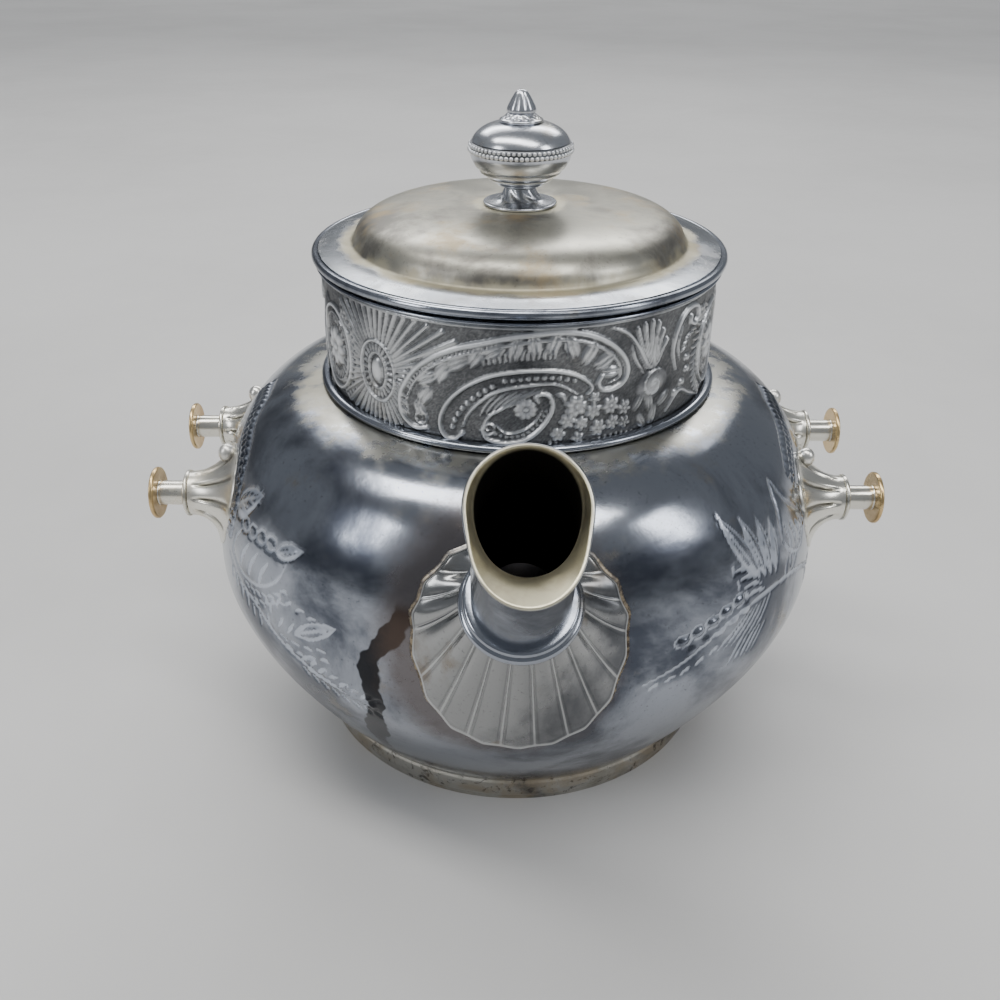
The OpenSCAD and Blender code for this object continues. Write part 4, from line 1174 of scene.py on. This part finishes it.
def handle_loop(t, inset):
    """A section that is round at the ends and a flat oval between, with a soft ridge on its back."""
    a, b = handle_at(max(0, t - 0.01)), handle_at(min(1, t + 0.01))
    way = (b - a)/np.linalg.norm(b - a)
    swell = math.sin(math.pi*t)**0.7
    half_w = GRIP_END_R + (GRIP_HALF_W - GRIP_END_R)*swell - inset
    half_t = GRIP_END_R + (GRIP_HALF_T - GRIP_END_R)*swell - inset
    angle = np.linspace(0, TAU, GRIP_SIDES, endpoint=False)
    ridge = 1 + 0.06*swell*np.exp(-((angle - math.pi/2)/0.25)**2)*(inset == 0)
    out = half_t*np.sin(angle)*ridge
    centre = handle_at(t)
    return np.stack([half_w*np.cos(angle), centre[0] + out*way[1], centre[1] - out*way[0]], -1)


grip_t = np.linspace(0, 1, 120)
grip_points = np.concatenate([[handle_loop(t, 0) for t in grip_t],
                              [handle_loop(t, 1.1) for t in grip_t[::-1][::8]]])
new_piece("handle", grip_points.reshape(-1, 3), grid_faces(len(grip_points), GRIP_SIDES),
          plain_metal, "pot", ["handle_grip"])

# ---------------------------------------------------------------- stand studs
STUD_SIDES = 144
stud_a = np.linspace(0, TAU, STUD_SIDES, endpoint=False)


def stud_points(side, end, radius, out):
    """From a stud's own frame (axis away from the pot) to the pot's."""
    radius, angle, out = np.broadcast_arrays(radius, stud_a, out)
    return np.stack([side*out, end*STUD_Y + radius*np.sin(angle), STUD_Z + radius*np.cos(angle)], -1)


def bracket(side, end, place):
    """A fluted trumpet whose wide end is draped on the belly, with a round knob at its brim."""
    steps = 40
    rise = np.radians(np.linspace(0, 90, steps))[:, None]
    flute = np.abs(np.sin(5*stud_a + 0.4))
    groove = np.exp(-(flute/0.34)**2)*np.interp(np.degrees(rise), [0, 8, 60, 84], [0.2, 1, 1, 0])
    radius = 6.35 + 8.0*(1 - np.sin(rise)) + 0.35*flute*(1 - np.sin(rise)) - 1.3*groove
    out = 79 + 14.5*(1 - 0.92*np.cos(rise)) + 0*radius
    skin = stud_points(side, end, radius, out)
    # Each flute runs down to the belly: the trumpet is stretched along its axis to meet it
    y, z = skin[..., 1], skin[..., 2]
    wall = np.sqrt(np.maximum((belly_at(z) + 0.4)**2 - y*y, 0))
    share = (out - out[0])/(out[-1] - out[0])
    skin[..., 0] = side*(wall + (out[-1] - wall)*share)
    brim = skin[0].copy()
    brim[:, 0] -= side*0.9
    inner_end, outer_end = (stud_points(side, end, 0.5, x) for x in (80.0, 93.55))
    grid = np.concatenate([[inner_end, brim], skin, [outer_end]])
    knob = np.array([side*82.4, end*(STUD_Y - 1.5), STUD_Z + 12.2])
    points, faces = merged([(grid.reshape(-1, 3), grid_faces(len(grid), STUD_SIDES)),
                            ball(knob, 2.5, 24, 16, 1.15)])
    piece = new_piece(f"stud_bracket_{place}", points, faces, cast_metal, "pot", [f"bracket_{place}"],
                      60)
    # Painted light: painted shade in the flutes' grooves and a painted highlight over the rest and on the
    # knob
    painted_light_level = np.full(len(points), 0.75)
    painted_light_level[2*STUD_SIDES:(2 + steps)*STUD_SIDES] = np.broadcast_to(0.66 - 0.7*groove,
                                                                 (steps, STUD_SIDES)).ravel()
    mark(piece, "relief", painted_light_level)


def stud_part(kind, side, end, place, profile, material):
    """A part turned about a stud's axis, from its [radius, distance] section."""
    prof = rounded(profile, 0.22, 3)
    points = stud_points(side, end, prof[:, :1], prof[:, 1:]).reshape(-1, 3)
    return new_piece(f"stud_{kind}_{place}", points, grid_faces(len(prof), STUD_SIDES), material, "pot",
                     [f"{kind}_{place}"], 50)


SPOOL = [(0.4, 93.6), (6.2, 93.6), (6.7, 94.0), (6.7, 94.6), (6.3, 94.9), (3.8, 95.1), (3.5, 95.6),
         (3.5, 102.6), (3.7, 102.9), (0.4, 102.9)]
DISC = [(0.4, 102.9), (6.6, 102.9), (7.15, 102.9), (7.45, 103.2), (7.45, 103.9), (7.15, 104.2),
        (6.7, 104.15), (6.3, 103.85), (2.2, 103.8), (1.6, 104.05), (0.4, 104.1)]
for side, side_name in ((-1, "left"), (1, "right")):
    for end, end_name in ((-1, "front"), (1, "rear")):
        place = f"{end_name}_{side_name}"
        bracket(side, end, place)
        spool = stud_part("spool", side, end, place, SPOOL, cast_metal)
        mark(spool, "relief", np.full(len(spool.data.vertices), 0.55))
        stud_part("disc", side, end, place, DISC, brass_metal)

# ---------------------------------------------------------------- parts shown as the CAD gives them
for finish, names in (
        (plain_metal, ("hinge_pot_leaf", "hinge_lid_leaf", "handle_upper_socket",
                       "handle_lower_socket", "handle_pins")),
        (brass_metal, ("hinge_pin", "finial_stud", "finial_washer", "finial_nut")),
        (bone_material(), ("handle_upper_insulator", "handle_lower_insulator"))):
    for name in names:
        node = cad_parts[name]
        node.data.materials.clear()
        node.data.materials.append(finish)


# ---------------------------------------------------------------- stage
def soft_light(name, place, target, size, power, colour=(1, 1, 1)):
    """A rectangular lamp at a place, turned to its target, in metres and watts."""
    light = bpy.data.lights.new(name, "AREA")
    light.shape = "RECTANGLE"
    light.size, light.size_y = size
    light.energy = power
    light.color = colour
    lamp = bpy.data.objects.new(name, light)
    bpy.context.scene.collection.objects.link(lamp)
    lamp.location = place
    lamp.rotation_euler = (Vector(target) - Vector(place)).to_track_quat("-Z", "Y").to_euler()


HALF_FLOOR = 20
corners = [(x*HALF_FLOOR, y*HALF_FLOOR, 0) for x, y in ((-1, -1), (1, -1), (1, 1), (-1, 1))]
mesh = bpy.data.meshes.new("floor")
mesh.from_pydata(corners, [], [(0, 1, 2, 3)])
mesh.materials.append(floor_material())
floor = bpy.data.objects.new("floor", mesh)
bpy.context.scene.collection.objects.link(floor)

soft_light("overhead", (-0.10, -0.20, 1.15), (0, 0, 0.08), (1.5, 0.30), 11, (1, 0.99, 0.97))
soft_light("left", (-0.95, -0.55, 0.70), (0, 0, 0.08), (0.30, 0.55), 3.2, (0.97, 0.98, 1))
soft_light("right", (0.95, -0.45, 0.75), (0, 0, 0.08), (0.30, 0.55), 3.2, (0.97, 0.98, 1))
soft_light("back", (0.0, 1.25, 1.05), (0, 0, 0.10), (1.6, 0.30), 8)
soft_light("room", (0.0, 3.2, 2.6), (0, 2.2, 0), (5.0, 2.0), 60)
world = bpy.data.worlds.new("studio")
world.use_nodes = True
background = world.node_tree.nodes["Background"]
background.inputs["Color"].default_value = (0.42, 0.44, 0.47, 1)
background.inputs["Strength"].default_value = 0.55
bpy.context.scene.world = world

# Camera: about 27 cm in front of the pot's axis and 23 cm up, looking down 31 degrees
CAMERA_BACK, CAMERA_HEIGHT = 0.2715, 0.2261
PITCH, HEADING, ROLL = 0.536, -0.017, 0.009
AROUND = math.radians(-1.2)
camera_data = bpy.data.cameras.new("camera")
camera_data.lens = 36
camera_data.sensor_width = 36
camera_data.clip_start = 0.01
camera = bpy.data.objects.new("camera", camera_data)
bpy.context.scene.collection.objects.link(camera)
camera.location = (CAMERA_BACK*math.sin(AROUND), -CAMERA_BACK*math.cos(AROUND), CAMERA_HEIGHT)
camera.rotation_mode = "QUATERNION"
look = Vector((math.sin(HEADING)*math.cos(PITCH), math.cos(HEADING)*math.cos(PITCH),
               -math.sin(PITCH)))
right = Vector((math.cos(HEADING), -math.sin(HEADING), 0))
up = right.cross(look)
right, up = (right*math.cos(ROLL) + up*math.sin(ROLL), up*math.cos(ROLL) - right*math.sin(ROLL))
turn = Matrix((right, up, -look)).transposed()
camera.rotation_quaternion = (Matrix.Rotation(AROUND, 3, "Z") @ turn).to_quaternion()
bpy.context.scene.camera = camera
